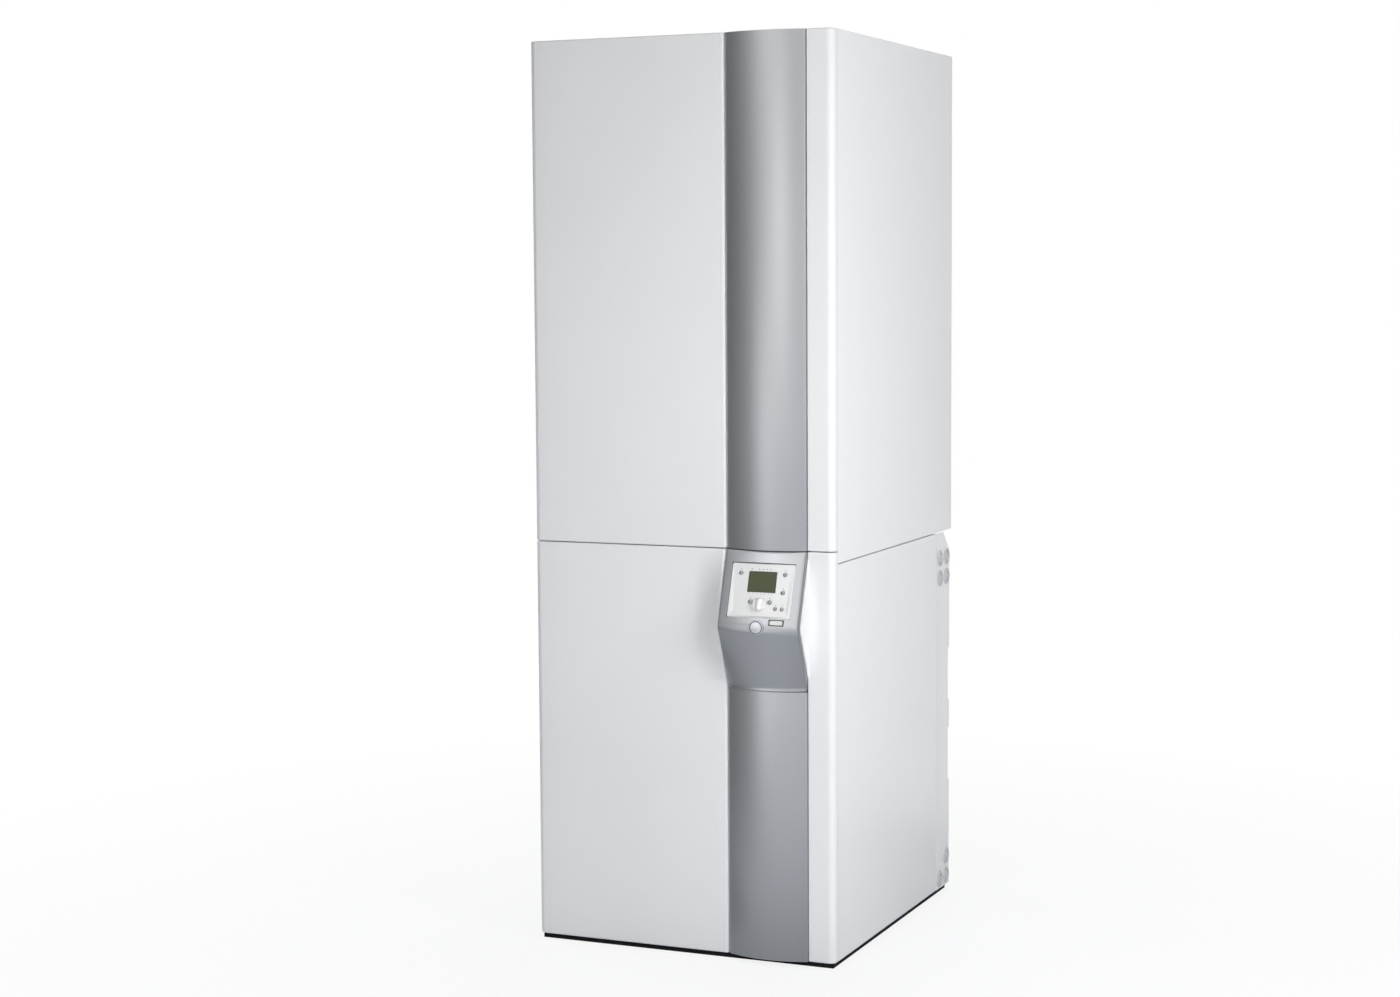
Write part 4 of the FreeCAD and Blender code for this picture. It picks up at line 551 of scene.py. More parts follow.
class HEATPUMP_OT_finishes(bpy.types.Operator):
    """Makes the shared shader groups and every finish"""
    bl_idname = "heatpump.finishes"
    bl_label = "Finishes"

    def execute(self, context):
        look = context.scene.heatpump_finishes
        for build, rows in FINISH_TABLE.items():
            group = make_group(build)
            for name, base, rough, scales, mottle, depth, *more in rows:
                shade = getattr(look, base) if isinstance(base, str) else base
                make_finish(name, shade, rough, group, scales, mottle, depth, **dict(*more))
        tilt = math.acos(JOINTS["knob_turn"]["axis"][2])
        dark, light, dim = ([factor * part for part in look.display] for factor in (1.0, 1.06, 0.8))
        make_pattern_finish("display_dots", dark, light, dim, 900.0, 0.3, tilt)
        make_pattern_finish("board_green", (0.03, 0.15, 0.06), (0.045, 0.2, 0.08),
                            (0.10, 0.26, 0.11), 160.0, 0.4, tilt)
        return {"FINISHED"}


# Front panels and columns

def along(start, end, count):
    """Points on a straight run, its end left out."""
    return np.linspace(start, end, count, endpoint=False)


def bend_points(centre, radii, start, end, count=10):
    """Points of an elliptic bend: its centre plus an angle's cosine and sine times its radii."""
    angle = np.radians(along(start, end, count))
    return np.stack([centre[0] + radii[0] * np.cos(angle),
                     centre[1] + radii[1] * np.sin(angle)], axis=-1)


def outline_normals(outline):
    """Unit normals of an open outline in plan, on the side that faces away from the casing."""
    slope = np.gradient(outline, axis=0)
    slope /= np.linalg.norm(slope, axis=1, keepdims=True) + 1e-12
    return np.stack([slope[:, 1], -slope[:, 0]], axis=-1)


def front_outline(sizes):
    """Plan of a front panel from its left wrap to its right wrap.

    It has corner bends, faces, rolls and the channel.
    """
    r, roll, tight = sizes.corner, sizes.left_roll, sizes.right_roll
    left, right = CHANNEL_LEFT, CHANNEL_RIGHT
    deep, roll_y = FRONT + sizes.channel, FRONT + sizes.roll_depth
    cheek_start = left - 110 * MM
    wall_start = right + tight
    wall_end = wall_start + sizes.cheek_wall
    return np.concatenate([
        along((-SIDE, BACK), (-SIDE, FRONT + r), 3),
        bend_points((-SIDE + r, FRONT + r), (r, r), 180, 270),
        along((-SIDE + r, FRONT), (cheek_start, FRONT), 6),
        along((cheek_start, FRONT), (left - roll, FRONT), 40),
        bend_points((left - roll, roll_y), (roll, sizes.roll_depth), 270, 360, 14),
        along((left, roll_y), (left, deep), 3),
        along((left, deep), (right, deep), 4),
        along((right, deep), (right, FRONT + tight), 4),
        bend_points((wall_start, FRONT + tight), (tight, tight), 180, 270),
        along((wall_start, FRONT), (wall_end, FRONT), 12),
        along((wall_end, FRONT), (SIDE - r, FRONT), 24),
        bend_points((SIDE - r, FRONT + r), (r, r), 270, 360),
        [(SIDE, FRONT + r), (SIDE, (FRONT + r + BACK) / 2), (SIDE, BACK)],
    ])


def rolled_ends(low, high, roll, middle=()):
    """Heights of a piece with rolled ends, and how far each level is drawn in."""
    cosine, sine = quarter_round(roll, 90, 0)
    heights = np.concatenate([low + roll - sine, middle, high - roll + sine[::-1]])
    insets = np.concatenate([roll - cosine, np.zeros(len(middle)), roll - cosine[::-1]])
    return heights, insets


def upright(outline, levels, back, right=math.inf):
    """An outline carried straight up. Each level is drawn in along its normals, and lids close it.

    Where it passes a tight bend at the given right edge, it is cut off at the drawn-in edge, so
    that it never crosses itself. A lid is drawn in a little further, so that it has no faces
    without a width.
    """
    heights, insets = levels
    lid = 0.3 * MM
    height = np.concatenate([heights[:1], heights, heights[-1:]])[:, None]
    inset = np.concatenate([insets[:1] + lid, insets, insets[-1:] + lid])[:, None]
    x, y = np.moveaxis(outline - inset[..., None] * outline_normals(outline), -1, 0)
    beyond = outline[:, 0] > right - MERGE
    x = np.where(beyond, np.maximum(x, right + inset), x)
    y = np.where(beyond, np.maximum(y, FRONT + inset), y)
    y[[0, -1]] = np.maximum(y[[0, -1]], back)
    return np.stack([x, y, np.broadcast_to(height, x.shape)], axis=-1)


def side_arc(up, out, radius, angles):
    """Points of an arc in the side view: heights by the sine and reaches by the cosine."""
    return np.stack([up + radius * np.sin(angles), out + radius * np.cos(angles)], axis=-1)


def console_profile(sizes):
    """The console's side view as heights and reaches, from its top edge down to its heel.

    A shoulder arc, a straight slope, the nose arc, a straight underside, a hollow flare and a lip.
    """
    high, low = CONSOLE_TOP, CONSOLE_LOW[2]
    lip, flare, foot_gap = 1.6 * MM, 14 * MM, 2 * MM
    tilt, crown = math.asin(JOINTS["knob_turn"]["axis"][2]), sizes.crown
    nose, reach = sizes.nose_height, sizes.nose_reach
    under = math.atan((reach + sizes.heel_sink) / (nose - low))
    shoulder_up = high - lip * (1 - math.sin(crown)) - sizes.shoulder * math.sin(crown) - nose
    shoulder_out = reach - (sizes.shoulder + shoulder_up * math.sin(tilt)) / math.cos(tilt)
    shoulder = side_arc(nose + shoulder_up, shoulder_out, sizes.shoulder,
                        np.linspace(crown, tilt, 14))
    rim = side_arc(high - lip, shoulder[0, 1] - lip * math.cos(crown), lip,
                   along(math.pi / 2, crown, 4))
    lines = [[math.sin(tilt), math.cos(tilt)], [-math.sin(under), math.cos(under)]]
    centre = np.linalg.solve(lines, [-sizes.nose_radius, -sizes.nose_radius])
    front = side_arc(nose + centre[0], reach + centre[1], sizes.nose_radius,
                     np.linspace(tilt, -under, 22))
    foot = low + lip + foot_gap
    flare_out = reach - (nose - foot - flare * math.sin(under)) * math.tan(under)
    heel = side_arc(foot, flare_out + flare * math.cos(under), flare,
                    math.pi - np.linspace(under, 0, 8))
    end = side_arc(low + lip, heel[-1, 1] - lip, lip, -np.linspace(0, math.pi / 2, 6))
    return np.concatenate([rim, shoulder, front, heel, end])


def raise_cheeks(points, casing, console):
    """Draws a panel's faces out to the console's edges.

    Left of the console, a point moves forward by the edge's reach times one minus its distance
    over the cheek's width, squared. On the right, most of the reach falls off in a smooth step
    over a steep wall, and the rest in such a square. In the channel's walls the move fades out
    towards the channel's floor.
    """
    dish_share, wall_share, clear = 0.2, 0.8, 1 * MM
    x, y, z = np.moveaxis(points, -1, 0)
    left, right = COLUMN_LOW[0], COLUMN_HIGH[0]
    profile = console_profile(console)[::-1]
    profile = profile[np.argsort(profile[:, 0])]
    reach = np.maximum(np.interp(z, *profile.T), 0.0)
    dish = (1 - np.clip((x - right) / casing.cheek_right, 0, 1)) ** 2
    step = np.clip((x - right - casing.right_roll) / casing.cheek_wall, 0, 1)
    wall = 1 - step * step * (3 - 2 * step)
    slope = (1 - np.clip((left - x) / casing.cheek_left, 0, 1)) ** 2
    on_left = x < COLUMN_ACROSS
    share = np.where(on_left, slope, dish_share * dish + wall_share * wall)
    reach = np.where(on_left, reach, np.maximum(reach - casing.cheek_drop, 0.0))
    deep = FRONT + casing.channel
    fade = np.clip((deep - y) / (casing.channel - casing.roll_depth), 0, 1)
    inside = (x > left + clear) & (x < right - clear)
    return np.stack([x, y - np.where(inside, 0.0, reach * share * fade), z], axis=-1)


class HEATPUMP_OT_front_panels(bpy.types.Operator):
    """Makes the two white front panels, folded round the corners and into the column's channel"""
    bl_idname = "heatpump.front_panels"
    bl_label = "Front panels"

    def execute(self, context):
        casing = context.scene.heatpump_casing
        outline = front_outline(casing)
        levels = rolled_ends(UPPER_LOW[2], UPPER_HIGH[2], casing.edge_roll)
        make_piece("upper_panel", [Sheet(upright(outline, levels, BACK, CHANNEL_RIGHT))],
                   "white_coat", UPPER, ["upper_front_panel"], wall=casing.sheet)
        first, last = 100 * MM, LOWER_HIGH[2] - 5 * MM
        cheek_foot = CONSOLE_LOW[2] - 10 * MM
        middle = np.concatenate([along(first, cheek_foot, 4), np.linspace(cheek_foot, last, 90)])
        levels = rolled_ends(LOWER_LOW[2], LOWER_HIGH[2] + FRONT_RISE, casing.edge_roll, middle)
        points = upright(outline, levels, BACK, CHANNEL_RIGHT)
        points[1:-1] = raise_cheeks(points[1:-1], casing, context.scene.heatpump_console)
        make_piece("lower_panel", [Sheet(points)], "white_coat", LOWER,
                   ["lower_front_panel"], wall=casing.sheet)
        return {"FINISHED"}


def column_outline(low, high, deep):
    """Plan of the bowed column: its left wall, its arc with a rounded edge, and its right wall."""
    left, right, crest = low[0], high[0], low[1]
    left_edge, right_edge, roll = FRONT + 2.5 * MM, FRONT - 2 * MM, 3 * MM
    arc_start, wall_end = 0.6 * MM, 0.9 * MM
    wide = right - left
    rise = (left_edge + right_edge) / 2 - crest
    across = np.linspace(-wide / 2 + arc_start, wide / 2 - roll, 61)
    chord = left_edge + (right_edge - left_edge) * (across / wide + 0.5)
    arc = np.stack([COLUMN_ACROSS + across, chord - arc_height(wide, rise, across)], axis=-1)
    bend_y = arc[-1, 1] + roll
    left_wall = [(left, deep), (left, (deep + left_edge) / 2), (left, left_edge + wall_end)]
    bend = bend_points((right - roll, bend_y), (roll, roll), 280, 360, 8)
    right_wall = [(right, bend_y), (right, (deep + right_edge) / 2), (right, deep)]
    return np.concatenate([left_wall, arc, bend, right_wall])


class HEATPUMP_OT_columns(bpy.types.Operator):
    """Makes the bowed silver column above and below the console"""
    bl_idname = "heatpump.columns"
    bl_label = "Columns"

    def execute(self, context):
        end_roll, wall = 0.8 * MM, 2 * MM
        deep = FRONT + context.scene.heatpump_casing.channel
        for half, body in (("upper", UPPER), ("lower", LOWER)):
            low, high = corners(f"{half}_column")
            levels = rolled_ends(low[2], high[2], end_roll)
            points = upright(column_outline(low, high, deep), levels, deep)
            make_piece(f"{half}_silver_column", [Sheet(points)], "silver_lacquer", body,
                       [f"{half}_column"], wall=wall)
        return {"FINISHED"}


# Console and control unit

def fascia_seat(controls):
    """The control unit's own frame, from the knob's axis and its place on the unit."""
    joint = JOINTS["knob_turn"]
    out = np.array(joint["axis"])
    across = np.array([1.0, 0.0, 0.0])
    up = np.cross(out, across)
    origin = np.array(joint["pos_m"]) - controls.knob_across * across - controls.knob_up * up
    return Seat(origin, across, up, out)


def switch_seat(console, controls):
    """The rocker switch's frame: square to the bowed face, with its origin in the face."""
    pivot = np.array(JOINTS["rocker_tilt"]["pos_m"])
    radius = bow_radius(COLUMN_WIDE + 2 * CHANNEL_GAP, console.bow)
    yaw = math.asin((pivot[0] - COLUMN_ACROSS) / radius)
    square = Seat(pivot, *fascia_seat(controls).axes).turned(yaw)
    return square.at(0.0, 0.0, ROCKER_DEPTH)


def half_size(controls):
    """Half the control unit's width and height."""
    return np.array([controls.width, controls.height]) / 2


def pocketed(points, seat, rows, columns, depth):
    """Moves the grid's points in the given rows and columns down to a pocket's floor."""
    own = seat.take(points)
    own[..., 2] = np.where(rows[:, None] & columns[None], -depth, own[..., 2])
    return seat.put(own)


def with_steps(samples, middle, half, step=0.04 * MM):
    """Adds close pairs of samples at the edges of pockets, so that a step there stays sharp.

    A pocket is given by its middle and its half width. Near doubles are dropped.
    """
    edges = [place + side * reach for place, reach in zip(middle, half) for side in (-1, 1)]
    pairs = [edge + side * step for edge in edges for side in (-1, 1)]
    found = np.unique(np.concatenate([samples, pairs]))
    return found[np.diff(found, prepend=-math.inf) > MERGE]


class HEATPUMP_OT_console(bpy.types.Operator):
    """Makes the silver console: a bowed face down its side view, with pockets for the controls"""
    bl_idname = "heatpump.console"
    bl_label = "Console"

    def execute(self, context):
        console = context.scene.heatpump_console
        controls = context.scene.heatpump_controls
        seat, switch = fascia_seat(controls), switch_seat(console, controls)
        gap, head_gap, slot_depth = 0.4 * MM, 0.6 * MM, 14 * MM
        fade_run, fade_power, top_fade = 22 * MM, 0.15, 8 * MM
        room = half_size(controls) + gap
        slot = np.array([14.9, 5.7]) * MM
        slot_across = switch.origin[0] - COLUMN_ACROSS

        # Rows run down the side view by its length, columns run across the face
        profile = console_profile(console)
        steps = np.linalg.norm(np.diff(profile, axis=0), axis=1)
        run = np.concatenate([[0], np.cumsum(steps)])
        slope_run = np.interp(-seat.origin[2], -profile[:, 0], run)
        switch_run = slope_run - seat.take(switch.origin)[1]
        unit_run, unit_half = slope_run - head_gap / 2, room[1] + head_gap / 2
        rows = with_steps(np.union1d(run, np.linspace(0, run[-1], 80)),
                          (unit_run, switch_run), (unit_half, slot[1]))
        half, left, right = COLUMN_WIDE / 2, console.left_edge, console.right_edge
        face = with_steps(np.linspace(-half + left, half - right, 61),
                          (0.0, slot_across), (room[0], slot[0]))[1:-1]
        left_cos, left_sin = quarter_round(left, 0, 90)
        right_cos, right_sin = quarter_round(right, 90, 0)
        across = np.concatenate([[-half], -half + left - left_cos, face,
                                 half - right + right_cos, [half]])
        drop = np.concatenate([[0.0], left - left_sin, np.zeros(len(face)),
                               right - right_sin, [0.0]])

        # The rows are shifted beside the unit, so that the bowed face meets it in a straight line
        bow_here = arc_height(COLUMN_WIDE, console.bow, across)
        rim_bow = arc_height(COLUMN_WIDE, console.bow, controls.width / 2)
        straight = np.clip(1 - np.abs(rows - slope_run) / (room[1] + fade_run), 0, 1) ** fade_power
        straight *= np.clip(rows / top_fade, 0, 1)
        shifted = rows[:, None] - seat.axes[1][1] * (bow_here - rim_bow) * straight[:, None]
        height, reach = (np.interp(shifted, run, profile[:, side]) for side in (0, 1))
        fall = console.nose_height - CONSOLE_LOW[2]
        under = np.clip((console.nose_height - height) / fall, 0, 1)
        rise = console.bow + (console.heel_bow - console.bow) * under
        y = FRONT - reach - arc_height(COLUMN_WIDE, rise, across) + drop
        points = np.stack([np.broadcast_to(COLUMN_ACROSS + across, y.shape), y, height], axis=-1)
        points = pocketed(points, seat, np.abs(rows - unit_run) < unit_half,
                          np.abs(across) < room[0], console.pocket)
        points = pocketed(points, switch, np.abs(rows - switch_run) < slot[1],
                          np.abs(across - slot_across) < slot[0], slot_depth)
        deep = FRONT + context.scene.heatpump_casing.channel
        points[:, [0, -1], 1] = deep
        ends = points[[0, -1]].copy()
        ends[..., 1] = deep
        points = np.concatenate([ends[:1], points, ends[1:]])
        make_piece("silver_console", [Sheet(points)], "silver_lacquer", LOWER,
                   ["console_housing"], sharp=32.0, filled=True)
        return {"FINISHED"}


def face_height(controls, u, v):
    """Height of the control unit's face: its bow, less a dish that deepens towards the bottom.

    The dish starts inside the frame and reaches its depth over a bevel that widens downwards. The
    bevel is a smooth step: 3 t squared less 2 t cubed.
    """
    margin, sink, side_rate = 3 * MM, 0.25 * MM, 0.8
    half = half_size(controls)
    down = np.clip(0.5 - v / controls.height, 0, 1)
    bevel = (3.0 + 8.0 * down) * MM
    inset = np.minimum(half[0] - margin - np.abs(u), side_rate * (v + half[1] - margin))
    t = np.clip(inset / bevel, 0, 1)
    bow = arc_height(controls.width, controls.bow, u)
    return bow - sink - controls.dish * down * t * t * (3 - 2 * t)


def key_spots(seat):
    """Each key's place on the control unit and its radius, from its node's box."""
    spots = {}
    for name in sorted(name for name in frame["nodes"] if name.startswith("button_")):
        low, high = corners(name)
        own = seat.take((low + high) / 2)
        spots[name] = (own[0], own[1], (high[0] - low[0]) / 2)
    return spots


class HEATPUMP_OT_control_unit(bpy.types.Operator):
    """Makes the white control unit: its frame, dished face, display, key collars and ticks"""
    bl_idname = "heatpump.control_unit"
    bl_label = "Control unit"

    def execute(self, context):
        controls = context.scene.heatpump_controls
        seat = fascia_seat(controls)
        spots = key_spots(seat)
        low, high = corners("display_window")
        window = seat.take((low + high) / 2)
        glass = np.array([high[0] - low[0], (high[2] - low[2]) / seat.axes[1][2]]) / 2
        make_piece("control_frame", [self.rim(seat, controls)], "white_plastic", LOWER,
                   ["control_fascia"])
        make_piece("control_face", self.face(seat, controls, window, glass, spots.values()),
                   "white_plastic", LOWER, sharp=45.0)
        sunk = 0.5 * MM
        top = face_height(controls, window[0] + glass[0], window[1] - glass[1]) - sunk
        pane = np.array([(-0.3, -0.3, 0.8, 0), (0, 0, 0.9, -0.3), (0, 0, 0.9, -2)]) * MM
        make_piece("display_glass", [stacked(seat.at(*window[:2]), pane + (*glass, 0, top))],
                   "display_dots", LOWER, ["display_window"])
        collar = np.array([(0.9, -0.6), (0.9, 0), (0.6, 0.28), (0.3, 0.1), (0.3, -0.6)]) * MM
        collars = []
        for u, v, radius in spots.values():
            place = seat.at(u, v, face_height(controls, u, v))
            collars.append(hoop(place, turned_profile(collar + (radius, 0), 32)))
        make_piece("key_collars", collars, "white_plastic", LOWER)
        make_piece("tick_marks", self.marks(seat, controls, window, glass, spots.values()),
                   "print_grey", LOWER)
        return {"FINISHED"}

    def rim(self, seat, controls):
        """A closed frame: rectangles out, over the edge and in again, lifted by the face's bow."""
        half = half_size(controls)
        edge, corner, foot = 1.4 * MM, 3.5 * MM, -10 * MM
        levels = [(*half, corner, foot)]
        levels += [(half[0] - edge + c, half[1] - edge + c, corner - edge + c, s - edge)
                   for c, s in zip(*quarter_round(edge, 0, 90))]
        inner = np.array([(-2.6, -2.6, 2.0, 0.0), (-3.2, -3.2, 1.6, -0.3),
                          (-3.4, -3.4, 1.4, -3.0), (-3.4, -3.4, 1.4, -10.0)]) * MM
        points = pan([*levels, *(inner + (*half, 0, 0))], 5)
        across = np.clip(np.abs(points[..., 0]), 0, half[0])
        bow = arc_height(controls.width, controls.bow, across)
        points[..., 2] += np.where(points[..., 2] > foot / 2, bow, 0.0)
        return hoop(seat, points)

    def face(self, seat, controls, window, glass, keys):
        """A slab whose top follows the face.

        It has a pocket for the display, a well for each key, and a plinth with a well for the knob.
        """
        half, margin, count = half_size(controls), np.array([2.5, 3.0]) * MM, (172, 132)
        soft, pane_gap, well_gap = 0.25 * MM, 0.1 * MM, 0.55 * MM
        pane_floor, well_floor, foot = -2.4 * MM, -5 * MM, -6 * MM
        plinth_radius, plinth_sink, knob_hole = 11.5 * MM, 0.2 * MM, 3 * MM
        grid = [with_steps(np.linspace(-half[side] + margin[side], half[side] - margin[side],
                                       count[side]), window[side:side + 1], glass[side:side + 1],
                           soft) for side in (0, 1)]
        u, v = np.meshgrid(*grid, indexing="ij")
        knob = (controls.knob_across, controls.knob_up, knob_hole)
        bow = arc_height(controls.width, controls.bow, u)
        plinth = np.hypot(u - knob[0], v - knob[1]) < plinth_radius
        top = np.where(plinth, bow - plinth_sink, face_height(controls, u, v))
        pane = np.abs(u - window[0]) < glass[0] + pane_gap
        pane &= np.abs(v - window[1]) < glass[1] + pane_gap
        top = np.where(pane, pane_floor, top)
        for x, y, radius in (*keys, knob):
            top = np.where(np.hypot(u - x, v - y) < radius + well_gap, well_floor, top)
        upper = np.stack([u, v, top], axis=-1)
        lower = np.stack([u, v, np.full_like(u, foot)], axis=-1)
        skirt = [np.stack([upper[i], lower[i]]) for i in (0, -1)]
        skirt += [np.stack([upper[:, i], lower[:, i]]) for i in (0, -1)]
        return [Sheet(sheet).placed(seat) for sheet in (upper, lower, *skirt)]

    def marks(self, seat, controls, window, glass, keys):
        """Short printed dashes round the display and above each key, as thin raised bars."""
        above, below = window[1] + glass[1] + 4.2 * MM, window[1] - glass[1] - 3.2 * MM
        bars = [(window[0] + offset * MM, above, 2.2 * MM) for offset in (-24, -8, 0, 8, 16)]
        bars += [(window[0] + offset * MM, below, 1.2 * MM) for offset in range(-24, 25, 8)]
        bars += [(u, v + radius + 4.2 * MM, 1.8 * MM) for u, v, radius in keys]
        bar = np.array([(0, 0.7, 0.1, -0.05), (0, 0.7, 0.1, 0.06)]) * MM
        return [stacked(seat.at(u, v), bar + (wide / 2, 0, 0, face_height(controls, u, v)), 2)
                for u, v, wide in bars]


class HEATPUMP_OT_knob_and_keys(bpy.types.Operator):
    """Makes the turning knob with its grip ridge, and the seven push keys"""
    bl_idname = "heatpump.knob_and_keys"
    bl_label = "Knob and keys"

    def execute(self, context):
        controls = context.scene.heatpump_controls
        seat = fascia_seat(controls)
        make_piece("turning_knob", [self.knob(controls, seat)], "white_plastic",
                   "control_knob_body", ["control_knob"])
        for name, (u, v, radius) in key_spots(seat).items():
            top = face_height(controls, u, v) + controls.key_proud
            make_piece(name.replace("button", "key"),
                       [lathed(seat.at(u, v), self.key(controls, radius, top), 40)],
                       "key_lacquer", name + "_body", [name])
        return {"FINISHED"}

    def key(self, controls, radius, top):
        """Profile of a key: a stem, a wider head with a rounded edge, and a domed top."""
        foot, edge, head, stem = -3.4 * MM, 0.5 * MM, 2.1 * MM, radius - 0.6 * MM
        profile = [(0.0, foot), (stem, foot), (stem, top - head), (radius, top - head)]
        profile += [(radius - edge + c, top - edge + s)
                    for c, s in zip(*quarter_round(edge, 0, 90))]
        profile += [(share * (radius - edge), top + controls.key_dome * (1 - share * share))
                    for share in (0.8, 0.6, 0.4, 0.2, 0.0)]
        return profile

    def knob(self, controls, seat):
        """A turned skirt with a fluted rim, and on it a grip bar that falls off to its sides."""
        low, radius = controls.bow + controls.knob_lift, controls.knob_radius
        flat, skirt, skirt_drop = 0.86, 4 * MM, 1.4 * MM
        grip_half, grip_soft, grip_high, grip_bow = 4 * MM, 2.2 * MM, 4 * MM, 0.25
        grip_long, end_soft = 0.82 * radius, 0.9 * MM
        flutes, flute_depth = 24, 0.012
        shaft, foot = 3 * MM, -3.4 * MM
        angle = circle(96)
        t = np.concatenate([np.linspace(0, flat, 40), np.linspace(0.88, 1.0, 8)])[:, None]
        x, y = radius * t * np.cos(angle), radius * t * np.sin(angle)
        dome = skirt - skirt_drop * np.clip((t - flat) / (1 - flat), 0, 1) ** 2
        grip = 0.5 - 0.5 * np.tanh((np.abs(x) - grip_half) / grip_soft)
        ends = 0.5 - 0.5 * np.tanh((np.abs(y) - grip_long) / end_soft)
        z = low + dome + grip_high * grip * ends * (1 - grip_bow * (y / radius) ** 2)
        top = np.stack([x, y, z], axis=-1)
        flute = 1 - flute_depth * (1 + np.cos(flutes * angle)) / 2
        wall = rings(np.tile(radius * flute, (3, 1)), low + np.array([2.2, 0.3, 0.0]) * MM)
        stem = turned_profile([(shaft, low), (shaft, foot), (0.0, foot)], len(angle))
        place = seat.at(controls.knob_across, controls.knob_up)
        return Sheet(np.concatenate([top, wall, stem]), columns=True).placed(place)


class HEATPUMP_OT_switch_and_badge(bpy.types.Operator):
    """Makes the rocker switch with its dark frame, and the blank round badge"""
    bl_idname = "heatpump.switch_and_badge"
    bl_label = "Switch and badge"

    def execute(self, context):
        seat = switch_seat(context.scene.heatpump_console, context.scene.heatpump_controls)
        self.switch(seat)
        self.badge()
        return {"FINISHED"}

    def switch(self, seat):
        """A frame up its outside, over its rim and down its inside, and a hollow-faced paddle."""
        bezel = np.array([(15.7, 6.3, 1.5, -4), (15.7, 6.3, 1.5, 0.5), (15.4, 6, 1.3, 0.8),
                          (14.6, 5.2, 0.8, 0.8), (14.3, 4.8, 0.7, 0.4), (14.2, 4.6, 0.6, -12),
                          (14.8, 5.4, 0.6, -12), (14.8, 5.4, 0.6, -4)]) * MM
        make_piece("switch_frame", [hoop(seat, pan(bezel, 4))], "black_plastic", LOWER,
                   ["switch_bezel"])
        paddle = np.array([(12.4, 3.9, 0.4, -3.4), (13.2, 4.2, 0.5, -2), (13.5, 4.3, 0.5, 3.6),
                           (13.1, 4, 0.4, 4), (9, 2.9, 0.3, 3.9), (4, 1.8, 0.3, 3.7),
                           (1, 0.8, 0.2, 3.6)]) * MM
        tilt = math.radians(-JOINTS["rocker_tilt"]["range_deg"][1] / 2)
        pivot = seat.at(0, 0, -ROCKER_DEPTH).turned(tilt)
        make_piece("rocker", [stacked(pivot, paddle, 4)], "white_plastic", "power_rocker_body",
                   ["power_rocker"])

    def badge(self):
        """A blank disc with a softly domed face, and a raised line round it."""
        low, high = corners("badge_disc")
        radius, proud = (high[0] - low[0]) / 2, 1.5 * MM
        centre = (low + high) / 2
        seat = facing("front", (centre[0], low[1] + proud, centre[2]))
        line = np.array([(-1.6, -1), (-1.6, 1.1), (-1.8, 1.3),
                         (-3.6, 1.3), (-3.8, 1.1), (-3.8, -1)]) * MM + (radius, 0)
        make_piece("badge_line", [hoop(seat, turned_profile(line, 64))], "badge_line", LOWER)
        rim = np.array([(0, -8), (0, 0.2), (-0.3, 0.7), (-1, 0.9), (-3.9, 0.8)]) * MM + (radius, 0)
        dome = np.array([(0.6, 0.9), (0.45, 1.1), (0.25, 1.3), (0, 1.4)]) * (radius, MM)
        face = np.concatenate([[(0.0, rim[0, 1])], rim, dome])
        make_piece("badge_face", [lathed(seat, face, 64)], "badge_face", LOWER,
                   ["badge_disc"])


# Casing round the sides and the back

class HEATPUMP_OT_casing_panels(bpy.types.Operator):
    """Makes the folded side panels, the top cover and the rear panels"""
    bl_idname = "heatpump.casing_panels"
    bl_label = "Casing panels"

    def execute(self, context):
        casing = context.scene.heatpump_casing
        for side in ("right", "left"):
            self.panel(f"{side}_panel_upper", f"{side}_side_upper", side, casing)
            self.panel(f"{side}_panel_lower", f"{side}_side_lower", side, casing, rise=SIDE_RISE)
        self.panel("top_panel", "top_cover", "top", casing)
        self.panel("back_panel_upper", "rear_panel_upper", "back", casing)
        self.panel("back_panel_lower", "rear_panel_lower", "back", casing, "zinc_plate",
                   "zinc_steel")
        return {"FINISHED"}

    def panel(self, name, node, side, casing, finish="white_coat", slot="white_panel", rise=0.0):
        """A panel folded inwards all round, as large as its node and drawn up by a rise."""
        corner, most_bend, most_sheet = 2.5 * MM, 0.45, 0.5
        low, high = corners(node)
        high[2] += rise
        axis = {"right": 0, "left": 0, "back": 1, "top": 2}[side]
        depth = high[axis] - low[axis]
        middle, half = (low + high) / 2, (high - low) / 2
        middle[axis] = low[axis] if side == "left" else high[axis]
        levels = folded_levels(*np.delete(half, axis), min(casing.fold_radius, most_bend * depth),
                               corner, depth, min(casing.sheet, most_sheet * depth))
        make_piece(name, [stacked(facing(side, middle), levels)], finish, CASING, [node])


